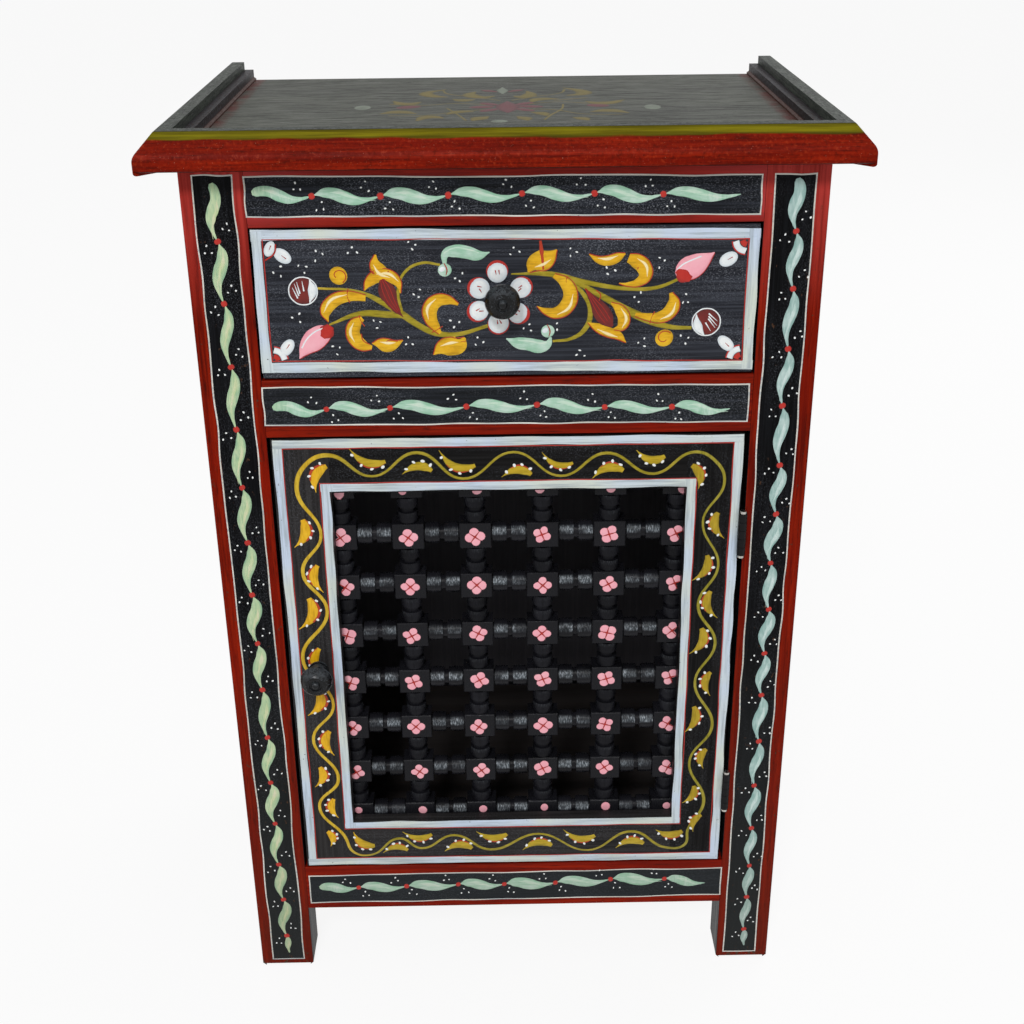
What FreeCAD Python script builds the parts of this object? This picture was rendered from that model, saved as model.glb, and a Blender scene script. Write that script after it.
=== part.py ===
import FreeCAD, Part
import math
import os

V = FreeCAD.Vector

# Small painted cabinet with one drawer over one lattice door.
# Millimetres, +Z up. While the pieces are made, x is 0 on the centre line, y is 0 on the
# front face of the legs and grows towards the back, and z is 0 on the floor.
# Each piece is moved back by half the depth as it is saved, so that the origin ends up
# under the middle of the whole cabinet.

# Case
case_width = 400.0
case_depth = 280.0
leg_width = 40.0
leg_depth = 32.0
foot_wear = 2.5
edge_round = 0.8
foot_clearance = 57.0
rail_height = 40.0
door_opening_height = 355.0
drawer_opening_height = 100.0
top_rail_height = 39.0
front_rail_thickness = 22.0
side_rail_thickness = 22.0
back_rail_thickness = 18.0
tenon_length = 20.0
tenon_thickness = 10.0
tenon_shoulder = 7.0
joint_clearance = 0.1

# Panels in grooves
groove_depth = 6.0
groove_clearance = 0.1
side_panel_thickness = 6.0
side_panel_recess = 8.0
back_panel_thickness = 4.0
back_panel_recess = 8.0

# Cabinet floor on its cleats
floor_thickness = 9.0
floor_drop = 3.0
floor_clearance = 0.3
cleat_size = 15.0

# Top with its raised moulding
board_thickness = 9.0
moulding_overhang = 21.5
moulding_front_drop = 0.0
moulding_side_drop = 2.0
moulding_slope_rise = 13.4
moulding_slope_run = 12.0
moulding_top_width = 9.3
moulding_step_height = 5.7
moulding_step_width = 6.8
foot_bead_width = 1.6
foot_bead_height = 2.2
moulding_edge_round = 1.2
moulding_nose_round = 8.0
moulding_foot_round = 2.2

# Drawer
drawer_gap = 1.5
drawer_front_thickness = 18.0
drawer_side_thickness = 10.0
drawer_side_headroom = 9.7
drawer_back_drop = 4.0
drawer_bottom_thickness = 4.0
drawer_bottom_lift = 8.0
drawer_bottom_groove = 5.0
drawer_running_gap = 0.3
drawer_side_play = 0.5
runner_thickness = 18.0
runner_ledge = 20.0
guide_height = 15.0
kicker_lap = 11.0
kicker_gap = 0.7
stop_height = 15.0
stop_width = 16.0
stop_depth = 11.7

# Door
door_gap_left = 2.0
door_gap_right = 3.0
door_gap_top = 1.5
door_gap_bottom = 1.5
door_thickness = 25.0
door_stile_width = 37.7
door_top_rail_width = 39.0
door_bottom_rail_width = 40.5
door_tenon_length = 22.0
door_tenon_thickness = 6.0
door_tenon_shoulder = 7.0
door_stop_gap = 0.3
door_stop_width = 14.0
door_stop_end_gap = 12.0

# Turned lattice
lattice_columns = 6
lattice_rows = 8
lattice_lap_across = 7.45
lattice_lap_up = 9.75
lattice_setback = 9.5
lattice_block_width = 22.0
lattice_block_height = 19.0
lattice_block_depth = 15.0
lattice_block_bevel = 0.6
lattice_ring_radius = 7.4
lattice_ring_edge_radius = 7.1
lattice_neck_radius = 5.2
lattice_neck_length = 3.5
lattice_seam_length = 0.8
lattice_edge_clearance = 0.3
bead_thickness = 3.0
bead_width = 10.0

# Knobs
knob_projection = 24.0
knob_head_radius = 11.2
knob_neck_radius = 6.1
knob_foot_radius = 7.2
knob_foot_length = 1.6
knob_neck_length = 6.4
knob_flare_length = 6.2
knob_rim_length = 0.9
knob_dome_length = 7.3
knob_face_radius = 6.8
knob_groove_radius = 4.5
knob_groove_depth = 1.2
knob_nub_radius = 3.1
drawer_knob_shift = -3.0
drawer_knob_rise = 5.3
door_knob_inset = 20.4
door_knob_rise = 174.5
knob_screw_radius = 2.0
knob_screw_depth = 14.0
knob_screw_head_radius = 4.0
knob_screw_head_thickness = 2.4
screw_clearance = 0.05

# Butt hinges
hinge_length = 31.5
hinge_knuckles = 5
hinge_knuckle_gap = 0.3
hinge_barrel_radius = 2.75
hinge_pin_radius = 1.2
hinge_pin_clearance = 0.05
hinge_pin_head_radius = 2.2
hinge_pin_head_length = 1.8
hinge_barrel_gap = 0.3
hinge_leaf_thickness = 1.2
hinge_leaf_width = 17.0
hinge_upper_drop = 73.0
hinge_lower_rise = 65.5
hinge_screw_radius = 1.4
hinge_screw_head_radius = 2.6
hinge_screw_length = 12.0
hinge_screw_spacing = 19.0
hinge_screw_setback = 8.5

# Door catch
catch_height = 26.0
catch_rise = 186.5
catch_depth = 10.0
catch_plate_thickness = 1.2
catch_plate_height = 20.0

# How much of its widening the flare of a knob has made at half its length, and how much of
# its width over the face the dome still has at half its own
flare_bulge_share = 0.25
dome_bulge_share = 0.72

# How far a cutting shape runs past what it cuts
overrun = 1.0

# Places worked out from the sizes above
half_width = case_width / 2
opening_half = half_width - leg_width
bottom_rail_top = foot_clearance + rail_height
middle_rail_bottom = bottom_rail_top + door_opening_height
middle_rail_top = middle_rail_bottom + rail_height
top_rail_bottom = middle_rail_top + drawer_opening_height
leg_height = top_rail_bottom + top_rail_height
board_top = leg_height + board_thickness
back_leg_front = case_depth - leg_depth
back_rail_front = case_depth - back_rail_thickness
side_rail_inner = half_width - side_rail_thickness
side_panel_outer = half_width - side_panel_recess
side_panel_inner = side_panel_outer - side_panel_thickness
back_panel_back = case_depth - back_panel_recess
back_panel_front = back_panel_back - back_panel_thickness
floor_top = bottom_rail_top - floor_drop
floor_bottom = floor_top - floor_thickness
moulding_top = board_top + moulding_slope_rise
moulding_inner = moulding_overhang - moulding_slope_run - moulding_top_width
moulding_step_top = moulding_top - moulding_step_height
moulding_step_inner = moulding_inner - moulding_step_width
drawer_half = opening_half - drawer_gap
drawer_side_bottom = middle_rail_top + drawer_running_gap
drawer_side_top = top_rail_bottom - drawer_side_headroom
drawer_back_top = drawer_side_top - drawer_back_drop
drawer_inner = drawer_half - drawer_side_thickness
drawer_bottom_low = drawer_side_bottom + drawer_bottom_lift
drawer_bottom_high = drawer_bottom_low + drawer_bottom_thickness
drawer_length = back_leg_front - stop_depth - drawer_running_gap
guide_inner = drawer_half + drawer_side_play
runner_inner = opening_half - runner_ledge
door_left = -opening_half + door_gap_left
door_right = opening_half - door_gap_right
door_low = bottom_rail_top + door_gap_bottom
door_high = middle_rail_bottom - door_gap_top
lattice_left = door_left + door_stile_width
lattice_right = door_right - door_stile_width
lattice_low = door_low + door_bottom_rail_width
lattice_high = door_high - door_top_rail_width
lattice_mid_x = (lattice_left + lattice_right) / 2
lattice_mid_z = (lattice_low + lattice_high) / 2
lattice_axis_y = lattice_setback + lattice_block_depth / 2
lattice_half_width = (lattice_right - lattice_left) / 2 + lattice_lap_across
lattice_half_height = (lattice_high - lattice_low) / 2 + lattice_lap_up
lattice_pitch_across = (lattice_half_width * 2 - lattice_block_width) / (lattice_columns - 1)
lattice_pitch_up = (lattice_half_height * 2 - lattice_block_height) / (lattice_rows - 1)
rebate_front = lattice_setback - lattice_edge_clearance
rebate_left = lattice_mid_x - lattice_half_width - lattice_edge_clearance
rebate_right = lattice_mid_x + lattice_half_width + lattice_edge_clearance
rebate_low = lattice_mid_z - lattice_half_height - lattice_edge_clearance
rebate_high = lattice_mid_z + lattice_half_height + lattice_edge_clearance
hinge_x = (door_right + opening_half) / 2
hinge_y = -hinge_barrel_radius - hinge_barrel_gap
stop_front = door_thickness + door_stop_gap
door_knob_x = door_left + door_knob_inset
door_knob_z = door_low + door_knob_rise
drawer_knob_z = middle_rail_top + drawer_opening_height / 2 + drawer_knob_rise
catch_level = door_low + catch_rise
knob_rim_start = knob_foot_length + knob_neck_length + knob_flare_length
knob_rim_end = knob_rim_start + knob_rim_length
knob_face = knob_rim_end + knob_dome_length
front_reach = max(knob_projection, moulding_overhang)
mid_depth = (case_depth - front_reach) / 2


def block(x0, x1, y0, y1, z0, z1):
    return Part.makeBox(x1 - x0, y1 - y0, z1 - z0, V(x0, y0, z0))


def mirrored(shape):
    return shape.mirror(V(0, 0, 0), V(1, 0, 0))


def save(node, *pieces):
    solids = [solid for piece in pieces for solid in piece.Solids]
    placed = solids[0].copy() if len(solids) == 1 else Part.makeCompound(solids)
    placed.translate(V(0, -mid_depth, 0))
    placed.exportStep("parts/" + node + ".step")


def prism(points, direction):
    face = Part.Face(Part.makePolygon(points + [points[0]]))
    return face.extrude(direction)


def softened(shape, radius, wanted):
    return shape.makeFillet(radius, [edge for edge in shape.Edges if wanted(edge.BoundBox)])


# The long edges of a piece that lies across the front, upright or front to back
def front_edges_across(box):
    return box.YMax < edge_round and box.XLength > leg_width


def front_edges_upright(box):
    return box.YMax < edge_round and box.ZLength > leg_width


def upright_edges(box):
    return box.ZLength > leg_width


def side_edges_lengthwise(box):
    return box.XMax < -half_width + edge_round and box.YLength > leg_width


# Mortise and tenon joints. A mortise is its tenon grown by the joint clearance.
def across_tenon(face_y, thickness, low, high, clearance):
    middle = face_y + thickness / 2
    half = tenon_thickness / 2 + clearance
    reach = opening_half + tenon_length + clearance
    return block(-reach, reach, middle - half, middle + half,
                 low + tenon_shoulder - clearance, high - tenon_shoulder + clearance)


def side_tenon(low, high, clearance):
    middle = half_width - side_rail_thickness / 2
    half = tenon_thickness / 2 + clearance
    front = leg_depth - tenon_length - clearance
    return block(-middle - half, -middle + half, front, case_depth - front,
                 low + tenon_shoulder - clearance, high - tenon_shoulder + clearance)


front_rails = {"bottom": (foot_clearance, bottom_rail_top),
               "middle": (middle_rail_bottom, middle_rail_top),
               "top": (top_rail_bottom, leg_height)}
frame_rails = {"bottom": (foot_clearance, bottom_rail_top),
               "top": (top_rail_bottom, leg_height)}


def side_groove():
    return block(-side_panel_outer - groove_clearance, -side_panel_inner + groove_clearance,
                 leg_depth - groove_depth, back_leg_front + groove_depth,
                 bottom_rail_top - groove_depth, top_rail_bottom + groove_depth)


def back_groove():
    return block(-opening_half - groove_depth, opening_half + groove_depth,
                 back_panel_front - groove_clearance, back_panel_back + groove_clearance,
                 bottom_rail_top - groove_depth, top_rail_bottom + groove_depth)


def worn_foot(leg):
    low_edges = [edge for edge in leg.Edges if edge.BoundBox.ZMax < foot_wear]
    return leg.makeChamfer(foot_wear, low_edges)


def front_leg():
    leg = block(-half_width, -opening_half, 0, leg_depth, 0, leg_height)
    leg = worn_foot(softened(leg, edge_round, upright_edges))
    for low, high in front_rails.values():
        leg = leg.cut(across_tenon(0, front_rail_thickness, low, high, joint_clearance))
    for low, high in frame_rails.values():
        leg = leg.cut(side_tenon(low, high, joint_clearance))
    return leg.cut(side_groove())


def back_leg():
    leg = block(-half_width, -opening_half, back_leg_front, case_depth, 0, leg_height)
    leg = worn_foot(softened(leg, edge_round, upright_edges))
    for low, high in frame_rails.values():
        leg = leg.cut(across_tenon(back_rail_front, back_rail_thickness, low, high,
                                   joint_clearance))
        leg = leg.cut(side_tenon(low, high, joint_clearance))
    return leg.cut(side_groove()).cut(back_groove())


def across_rail(face_y, thickness, low, high):
    body = block(-opening_half, opening_half, face_y, face_y + thickness, low, high)
    if face_y == 0:
        body = softened(body, edge_round, front_edges_across)
    return body.fuse(across_tenon(face_y, thickness, low, high, 0)).removeSplitter()


def side_rail(low, high):
    body = block(-half_width, -side_rail_inner, leg_depth, back_leg_front, low, high)
    body = softened(body, edge_round, side_edges_lengthwise)
    rail = body.fuse(side_tenon(low, high, 0)).removeSplitter()
    return rail.cut(side_groove())


def side_panel():
    reach = groove_depth - groove_clearance
    return block(-side_panel_outer, -side_panel_inner,
                 leg_depth - reach, back_leg_front + reach,
                 bottom_rail_top - reach, top_rail_bottom + reach)


def back_panel():
    reach = groove_depth - groove_clearance
    return block(-opening_half - reach, opening_half + reach, back_panel_front, back_panel_back,
                 bottom_rail_top - reach, top_rail_bottom + reach)


def cabinet_floor():
    middle = block(-opening_half + floor_clearance, opening_half - floor_clearance,
                   front_rail_thickness + floor_clearance, back_rail_front - floor_clearance,
                   floor_bottom, floor_top)
    ends = block(-side_rail_inner + floor_clearance, side_rail_inner - floor_clearance,
                 leg_depth + floor_clearance, back_leg_front - floor_clearance,
                 floor_bottom, floor_top)
    return middle.fuse(ends).removeSplitter()


def floor_cleat():
    return block(-side_rail_inner, -side_rail_inner + cleat_size, leg_depth, back_leg_front,
                 floor_bottom - cleat_size, floor_bottom)


# What carries and guides the drawer
def drawer_runner():
    low = middle_rail_top - runner_thickness
    ledge = block(-side_panel_inner, -runner_inner, leg_depth, back_leg_front,
                  low, middle_rail_top)
    nose = block(-opening_half, -runner_inner, front_rail_thickness, leg_depth,
                 low, middle_rail_top)
    guide = block(-side_panel_inner, -guide_inner, leg_depth, back_leg_front,
                  middle_rail_top, middle_rail_top + guide_height)
    return ledge.fuse(nose).fuse(guide).removeSplitter()


def drawer_kicker():
    low = drawer_side_top + kicker_gap
    return block(-side_rail_inner, -runner_inner, leg_depth, back_leg_front,
                 low, top_rail_bottom + kicker_lap)


def drawer_stop():
    return block(-guide_inner, -guide_inner + stop_width,
                 drawer_length + drawer_running_gap, back_leg_front,
                 middle_rail_top, middle_rail_top + stop_height)


# Top board and the mitred moulding that stands round three of its edges.
# The moulding's section is drawn by how far each point reaches out from the case.
def moulding_section(drop):
    bead_out = moulding_step_inner - foot_bead_width
    return [(0, leg_height - drop),
            (moulding_overhang, leg_height - drop),
            (moulding_overhang, board_top),
            (moulding_overhang - moulding_slope_run, moulding_top),
            (moulding_inner, moulding_top),
            (moulding_inner, moulding_step_top),
            (moulding_step_inner, moulding_step_top),
            (moulding_step_inner, board_top + foot_bead_height),
            (bead_out, board_top + foot_bead_height / 2),
            (bead_out, board_top),
            (0, board_top)]


def mitre_cutter(side):
    far = case_width + case_depth
    corner = V(side * half_width, 0, leg_height - moulding_side_drop - overrun)
    height = moulding_top - leg_height + moulding_side_drop + overrun + overrun
    points = [corner + V(side * -far, far, 0), corner + V(side * far, -far, 0),
              corner + V(side * -far, -far, 0)]
    return prism(points, V(0, 0, height))


# The nose of the moulding, then its lower and its upper outer edge
def rounded_moulding(bar, drop, outer):
    for radius, level in ((moulding_nose_round, board_top),
                          (moulding_foot_round, leg_height - drop),
                          (moulding_edge_round, moulding_top)):
        bar = softened(bar, radius,
                       lambda box: outer(box) and abs(box.ZMax - level) < joint_clearance)
    return bar


def outer_front_edges(box):
    outer_top = moulding_overhang - moulding_slope_run - moulding_edge_round
    return box.YMax < -outer_top and box.XLength > leg_width


def outer_side_edges(box):
    outer_top = half_width + moulding_overhang - moulding_slope_run - moulding_edge_round
    return box.XMax < -outer_top and box.YLength > leg_width


def front_moulding():
    reach = half_width + moulding_overhang
    points = [V(-reach, -out, z) for out, z in moulding_section(moulding_front_drop)]
    bar = rounded_moulding(prism(points, V(reach + reach, 0, 0)), moulding_front_drop,
                           outer_front_edges)
    return bar.common(mitre_cutter(-1)).common(mitre_cutter(1))


def side_moulding():
    length = case_depth + moulding_overhang
    points = [V(-half_width - out, -moulding_overhang, z)
              for out, z in moulding_section(moulding_side_drop)]
    bar = rounded_moulding(prism(points, V(0, length, 0)), moulding_side_drop,
                           outer_side_edges)
    return bar.cut(mitre_cutter(-1))


def top_board():
    return block(-half_width, half_width, 0, case_depth, leg_height, board_top)


# Drawer
def drawer_front():
    front = block(-drawer_half, drawer_half, 0, drawer_front_thickness,
                  middle_rail_top + drawer_gap, top_rail_bottom - drawer_gap)
    front = softened(front, edge_round, lambda box: box.YMax < edge_round)
    hole = knob_screw_hole(drawer_knob_shift, drawer_knob_z, drawer_front_thickness)
    return front.cut(drawer_bottom(joint_clearance)).cut(hole)


def drawer_side():
    side = block(-drawer_half, -drawer_inner, drawer_front_thickness, drawer_length,
                 drawer_side_bottom, drawer_side_top)
    return side.cut(drawer_bottom(joint_clearance))


def drawer_back():
    return block(-drawer_inner, drawer_inner, drawer_length - drawer_side_thickness,
                 drawer_length, drawer_bottom_high, drawer_back_top)


def drawer_bottom(clearance):
    reach = drawer_inner + drawer_bottom_groove + clearance
    return block(-reach, reach,
                 drawer_front_thickness - drawer_bottom_groove - clearance, drawer_length,
                 drawer_bottom_low - clearance, drawer_bottom_high)


# Knobs are turned about the line that leaves the face square to it: a foot, a neck that
# flares to a thin rim, and a dome that ends in a flat face with a nub in a round groove
def turned_nub_middle():
    height = knob_groove_depth + knob_projection - knob_face
    sphere = (height ** 2 + knob_nub_radius ** 2) / (height + height)
    half_turn = math.atan2(height, knob_nub_radius)
    return V(0, -knob_projection + sphere * (1 - math.cos(half_turn)),
             sphere * math.sin(half_turn))


def knob(x, z):
    flare_start = V(0, -knob_foot_length - knob_neck_length, knob_neck_radius)
    rim_start = V(0, -knob_rim_start, knob_head_radius)
    rim_end = V(0, -knob_rim_end, knob_head_radius)
    face_edge = V(0, -knob_face, knob_face_radius)
    groove_floor = -knob_face + knob_groove_depth
    flare_widening = (knob_head_radius - knob_neck_radius) * flare_bulge_share
    flare_middle = V(0, (flare_start.y + rim_start.y) / 2, knob_neck_radius + flare_widening)
    dome_widening = (knob_head_radius - knob_face_radius) * dome_bulge_share
    dome_middle = V(0, (rim_end.y + face_edge.y) / 2, knob_face_radius + dome_widening)
    foot = [V(0, 0, 0), V(0, 0, knob_foot_radius),
            V(0, -knob_foot_length, knob_foot_radius),
            V(0, -knob_foot_length, knob_neck_radius), flare_start]
    face = [face_edge, V(0, -knob_face, knob_groove_radius),
            V(0, groove_floor, knob_groove_radius), V(0, groove_floor, knob_nub_radius)]
    tip = V(0, -knob_projection, 0)

    edges = [Part.LineSegment(a, b).toShape() for a, b in zip(foot, foot[1:])]
    edges.append(Part.Arc(flare_start, flare_middle, rim_start).toShape())
    edges.append(Part.LineSegment(rim_start, rim_end).toShape())
    edges.append(Part.Arc(rim_end, dome_middle, face_edge).toShape())
    edges += [Part.LineSegment(a, b).toShape() for a, b in zip(face, face[1:])]
    edges.append(Part.Arc(face[-1], turned_nub_middle(), tip).toShape())
    edges.append(Part.LineSegment(tip, foot[0]).toShape())
    turned = Part.Face(Part.Wire(edges)).revolve(V(0, 0, 0), V(0, 1, 0), 360)
    turned.translate(V(x, 0, z))
    return turned.cut(knob_screw_hole(x, z, 0))


def knob_screw_hole(x, z, thickness):
    radius = knob_screw_radius + screw_clearance
    length = thickness + knob_screw_depth + overrun
    return Part.makeCylinder(radius, length, V(x, thickness + overrun, z), V(0, -1, 0))


def knob_screw(x, z, thickness):
    shank = Part.makeCylinder(knob_screw_radius, thickness + knob_screw_depth - overrun,
                              V(x, thickness, z), V(0, -1, 0))
    head = Part.makeCylinder(knob_screw_head_radius, knob_screw_head_thickness,
                             V(x, thickness, z), V(0, 1, 0))
    return shank.fuse(head)


# Door frame with a rebate round the back of its opening for the lattice
def door_rebate():
    return block(rebate_left, rebate_right, rebate_front, door_thickness + overrun,
                 rebate_low, rebate_high)


def door_tenons(clearance):
    middle = rebate_front / 2
    half = door_tenon_thickness / 2 + clearance
    left = lattice_left - door_tenon_length - clearance
    right = lattice_right + door_tenon_length + clearance
    bottom = block(left, right, middle - half, middle + half,
                   door_low + door_tenon_shoulder - clearance,
                   lattice_low - door_tenon_shoulder + clearance)
    top = block(left, right, middle - half, middle + half,
                lattice_high + door_tenon_shoulder - clearance,
                door_high - door_tenon_shoulder + clearance)
    return bottom, top


def door_stile(x0, x1, outer_x):
    stile = block(x0, x1, 0, door_thickness, door_low, door_high)
    stile = softened(stile, edge_round, lambda box: front_edges_upright(box)
                     and abs(box.XMax - outer_x) < edge_round)
    for tenon in door_tenons(joint_clearance):
        stile = stile.cut(tenon)
    return stile.cut(door_rebate())


def door_rail(z0, z1, tenon, outer_z):
    body = block(lattice_left, lattice_right, 0, door_thickness, z0, z1)
    body = softened(body, edge_round, lambda box: front_edges_across(box)
                    and abs(box.ZMax - outer_z) < edge_round)
    return body.fuse(tenon).removeSplitter().cut(door_rebate())


# Lattice. Each bar is turned from one square stick, with a block left at each column.
def lattice_column_x(column):
    return lattice_mid_x + lattice_pitch_across * (column - (lattice_columns - 1) / 2)


def lattice_row_z(row):
    return lattice_mid_z + lattice_pitch_up * ((lattice_rows - 1) / 2 - row)


def lattice_block(x, z):
    half_w = lattice_block_width / 2
    half_h = lattice_block_height / 2
    cube = block(x - half_w, x + half_w, lattice_setback, lattice_setback + lattice_block_depth,
                 z - half_h, z + half_h)
    face_edges = [edge for edge in cube.Edges
                  if edge.BoundBox.YMax - lattice_setback < lattice_block_bevel]
    return cube.makeChamfer(lattice_block_bevel, face_edges)


# Two rounded rings with a neck between them, turned about a line of the given length
def turned_link(length):
    ring = (length - lattice_neck_length) / 2 - lattice_seam_length
    edges = []
    here = 0.0
    start = V(0, 0, 0)
    last = V(0, 0, lattice_neck_radius)
    edges.append(Part.LineSegment(start, last).toShape())

    for gap in (lattice_seam_length, lattice_neck_length):
        foot = V(here + gap, 0, lattice_neck_radius)
        rise = V(here + gap, 0, lattice_ring_edge_radius)
        crown = V(here + gap + ring / 2, 0, lattice_ring_radius)
        fall = V(here + gap + ring, 0, lattice_ring_edge_radius)
        end = V(here + gap + ring, 0, lattice_neck_radius)
        edges.append(Part.LineSegment(last, foot).toShape())
        edges.append(Part.LineSegment(foot, rise).toShape())
        edges.append(Part.Arc(rise, crown, fall).toShape())
        edges.append(Part.LineSegment(fall, end).toShape())
        here = here + gap + ring
        last = end

    tail = V(length, 0, lattice_neck_radius)
    edges.append(Part.LineSegment(last, tail).toShape())
    edges.append(Part.LineSegment(tail, V(length, 0, 0)).toShape())
    edges.append(Part.LineSegment(V(length, 0, 0), start).toShape())
    return Part.Face(Part.Wire(edges)).revolve(V(0, 0, 0), V(1, 0, 0), 360)


def lattice_bar(row):
    z = lattice_row_z(row)
    length = lattice_pitch_across - lattice_block_width
    bar = lattice_block(lattice_column_x(0), z)
    for column in range(1, lattice_columns):
        link = turned_link(length)
        link.translate(V(lattice_column_x(column) - lattice_block_width / 2 - length,
                         lattice_axis_y, z))
        bar = bar.fuse([link, lattice_block(lattice_column_x(column), z)])
    return bar


def lattice_spindles():
    length = lattice_pitch_up - lattice_block_height
    spindles = []
    for row in range(1, lattice_rows):
        for column in range(lattice_columns):
            spindle = turned_link(length)
            spindle.rotate(V(0, 0, 0), V(0, 1, 0), -90)
            spindle.translate(V(lattice_column_x(column), lattice_axis_y,
                                lattice_row_z(row) + lattice_block_height / 2))
            spindles.append(spindle)
    return spindles


# Strips planted on the back of the door that hold the lattice in its rebate
def lattice_beads():
    left = rebate_left - bead_width / 2
    right = rebate_right + bead_width / 2
    low = rebate_low - bead_width / 2
    high = rebate_high + bead_width / 2
    back = door_thickness + bead_thickness
    return [block(left, left + bead_width, door_thickness, back, low, high),
            block(right - bead_width, right, door_thickness, back, low, high),
            block(left + bead_width, right - bead_width, door_thickness, back,
                  low, low + bead_width),
            block(left + bead_width, right - bead_width, door_thickness, back,
                  high - bead_width, high)]


# Butt hinges. The knuckles run from the bottom up, and the case leaf has the outer ones.
def knuckle_spans(z, on_case):
    step = hinge_length / hinge_knuckles
    low = z - hinge_length / 2
    spans = []
    for i in range(hinge_knuckles):
        if (i % 2 == 0) == on_case:
            spans.append((low + step * i + hinge_knuckle_gap / 2,
                          low + step * (i + 1) - hinge_knuckle_gap / 2))
    return spans


def hinge_leaf(z, on_case):
    side = 1 if on_case else -1
    outer = opening_half if on_case else door_right
    inner = outer - side * hinge_leaf_thickness
    low = z - hinge_length / 2
    high = z + hinge_length / 2
    leaf = block(min(inner, outer), max(inner, outer), hinge_y, hinge_leaf_width, low, high)
    clear = hinge_barrel_radius + hinge_barrel_gap
    other = knuckle_spans(z, not on_case)
    for z0, z1 in other:
        room = Part.makeCylinder(clear, z1 - z0 + hinge_knuckle_gap + hinge_knuckle_gap,
                                 V(hinge_x, hinge_y, z0 - hinge_knuckle_gap))
        leaf = leaf.cut(room)
    for z0, z1 in knuckle_spans(z, on_case):
        leaf = leaf.fuse(Part.makeCylinder(hinge_barrel_radius, z1 - z0,
                                           V(hinge_x, hinge_y, z0)))
    bore = Part.makeCylinder(hinge_pin_radius + hinge_pin_clearance, hinge_length + overrun,
                             V(hinge_x, hinge_y, low - overrun / 2))
    leaf = leaf.cut(bore)
    for screw in hinge_screws(z, on_case, screw_clearance):
        leaf = leaf.cut(screw)
    return leaf


# Countersunk screws that lie flush with the face of a leaf
def hinge_screws(z, on_case, clearance):
    side = 1 if on_case else -1
    outer = opening_half if on_case else door_right
    face = outer - side * hinge_leaf_thickness
    screws = []
    for end in (-1, 1):
        centre = V(face, hinge_screw_setback, z + end * hinge_screw_spacing / 2)
        head = Part.makeCone(hinge_screw_head_radius + clearance, hinge_screw_radius + clearance,
                             hinge_leaf_thickness, centre, V(side, 0, 0))
        shank = Part.makeCylinder(hinge_screw_radius + clearance, hinge_screw_length + clearance,
                                  centre, V(side, 0, 0))
        screws.append(head.fuse(shank))
    return screws


def hinge_pin(z):
    shank = Part.makeCylinder(hinge_pin_radius, hinge_length,
                              V(hinge_x, hinge_y, z - hinge_length / 2))
    low_head = Part.makeCylinder(hinge_pin_head_radius, hinge_pin_head_length,
                                 V(hinge_x, hinge_y, z - hinge_length / 2), V(0, 0, -1))
    high_head = Part.makeCylinder(hinge_pin_head_radius, hinge_pin_head_length,
                                  V(hinge_x, hinge_y, z + hinge_length / 2))
    return shank.fuse([low_head, high_head])


hinge_levels = {"upper": door_high - hinge_upper_drop, "lower": door_low + hinge_lower_rise}


def all_hinge_screws(on_case, clearance):
    return [screw for z in hinge_levels.values() for screw in hinge_screws(z, on_case, clearance)]


# Strip that the shut door rests against, with the catch let into it
def catch_body():
    return block(-opening_half, -opening_half + catch_depth, stop_front, leg_depth,
                 catch_level - catch_height / 2, catch_level + catch_height / 2)


def door_stop_strip():
    strip = block(-opening_half, -opening_half + door_stop_width, stop_front, leg_depth,
                  bottom_rail_top + door_stop_end_gap, middle_rail_bottom - door_stop_end_gap)
    return strip.cut(catch_body())


def catch_plate():
    return block(door_left + screw_clearance, -opening_half + catch_depth,
                 door_thickness - catch_plate_thickness, door_thickness,
                 catch_level - catch_plate_height / 2, catch_level + catch_plate_height / 2)


os.makedirs("parts", exist_ok=True)

leg = front_leg()
save("leg_front_left", leg)
right_leg = mirrored(leg)
for screw_hole in all_hinge_screws(True, screw_clearance):
    right_leg = right_leg.cut(screw_hole)
save("leg_front_right", right_leg)
leg = back_leg()
save("leg_back_left", leg)
save("leg_back_right", mirrored(leg))

for name, (low, high) in front_rails.items():
    save("front_rail_" + name, across_rail(0, front_rail_thickness, low, high))
for name, (low, high) in frame_rails.items():
    rail = across_rail(back_rail_front, back_rail_thickness, low, high)
    save("back_rail_" + name, rail.cut(back_groove()))
    rail = side_rail(low, high)
    save("side_rail_" + name + "_left", rail)
    save("side_rail_" + name + "_right", mirrored(rail))

save("side_panel_left", side_panel())
save("side_panel_right", mirrored(side_panel()))
save("back_panel", back_panel())
save("cabinet_floor", cabinet_floor())
save("floor_cleats", floor_cleat(), mirrored(floor_cleat()))

save("drawer_runner_left", drawer_runner())
save("drawer_runner_right", mirrored(drawer_runner()))
save("drawer_kickers", drawer_kicker(), mirrored(drawer_kicker()))
save("drawer_stops", drawer_stop(), mirrored(drawer_stop()))

save("top_board", top_board())
save("top_moulding_front", front_moulding())
save("top_moulding_left", side_moulding())
save("top_moulding_right", mirrored(side_moulding()))

save("drawer_front", drawer_front())
save("drawer_side_left", drawer_side())
save("drawer_side_right", mirrored(drawer_side()))
save("drawer_back", drawer_back())
save("drawer_bottom", drawer_bottom(0))
save("drawer_knob", knob(drawer_knob_shift, drawer_knob_z))
save("drawer_knob_screw", knob_screw(drawer_knob_shift, drawer_knob_z, drawer_front_thickness))

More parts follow.
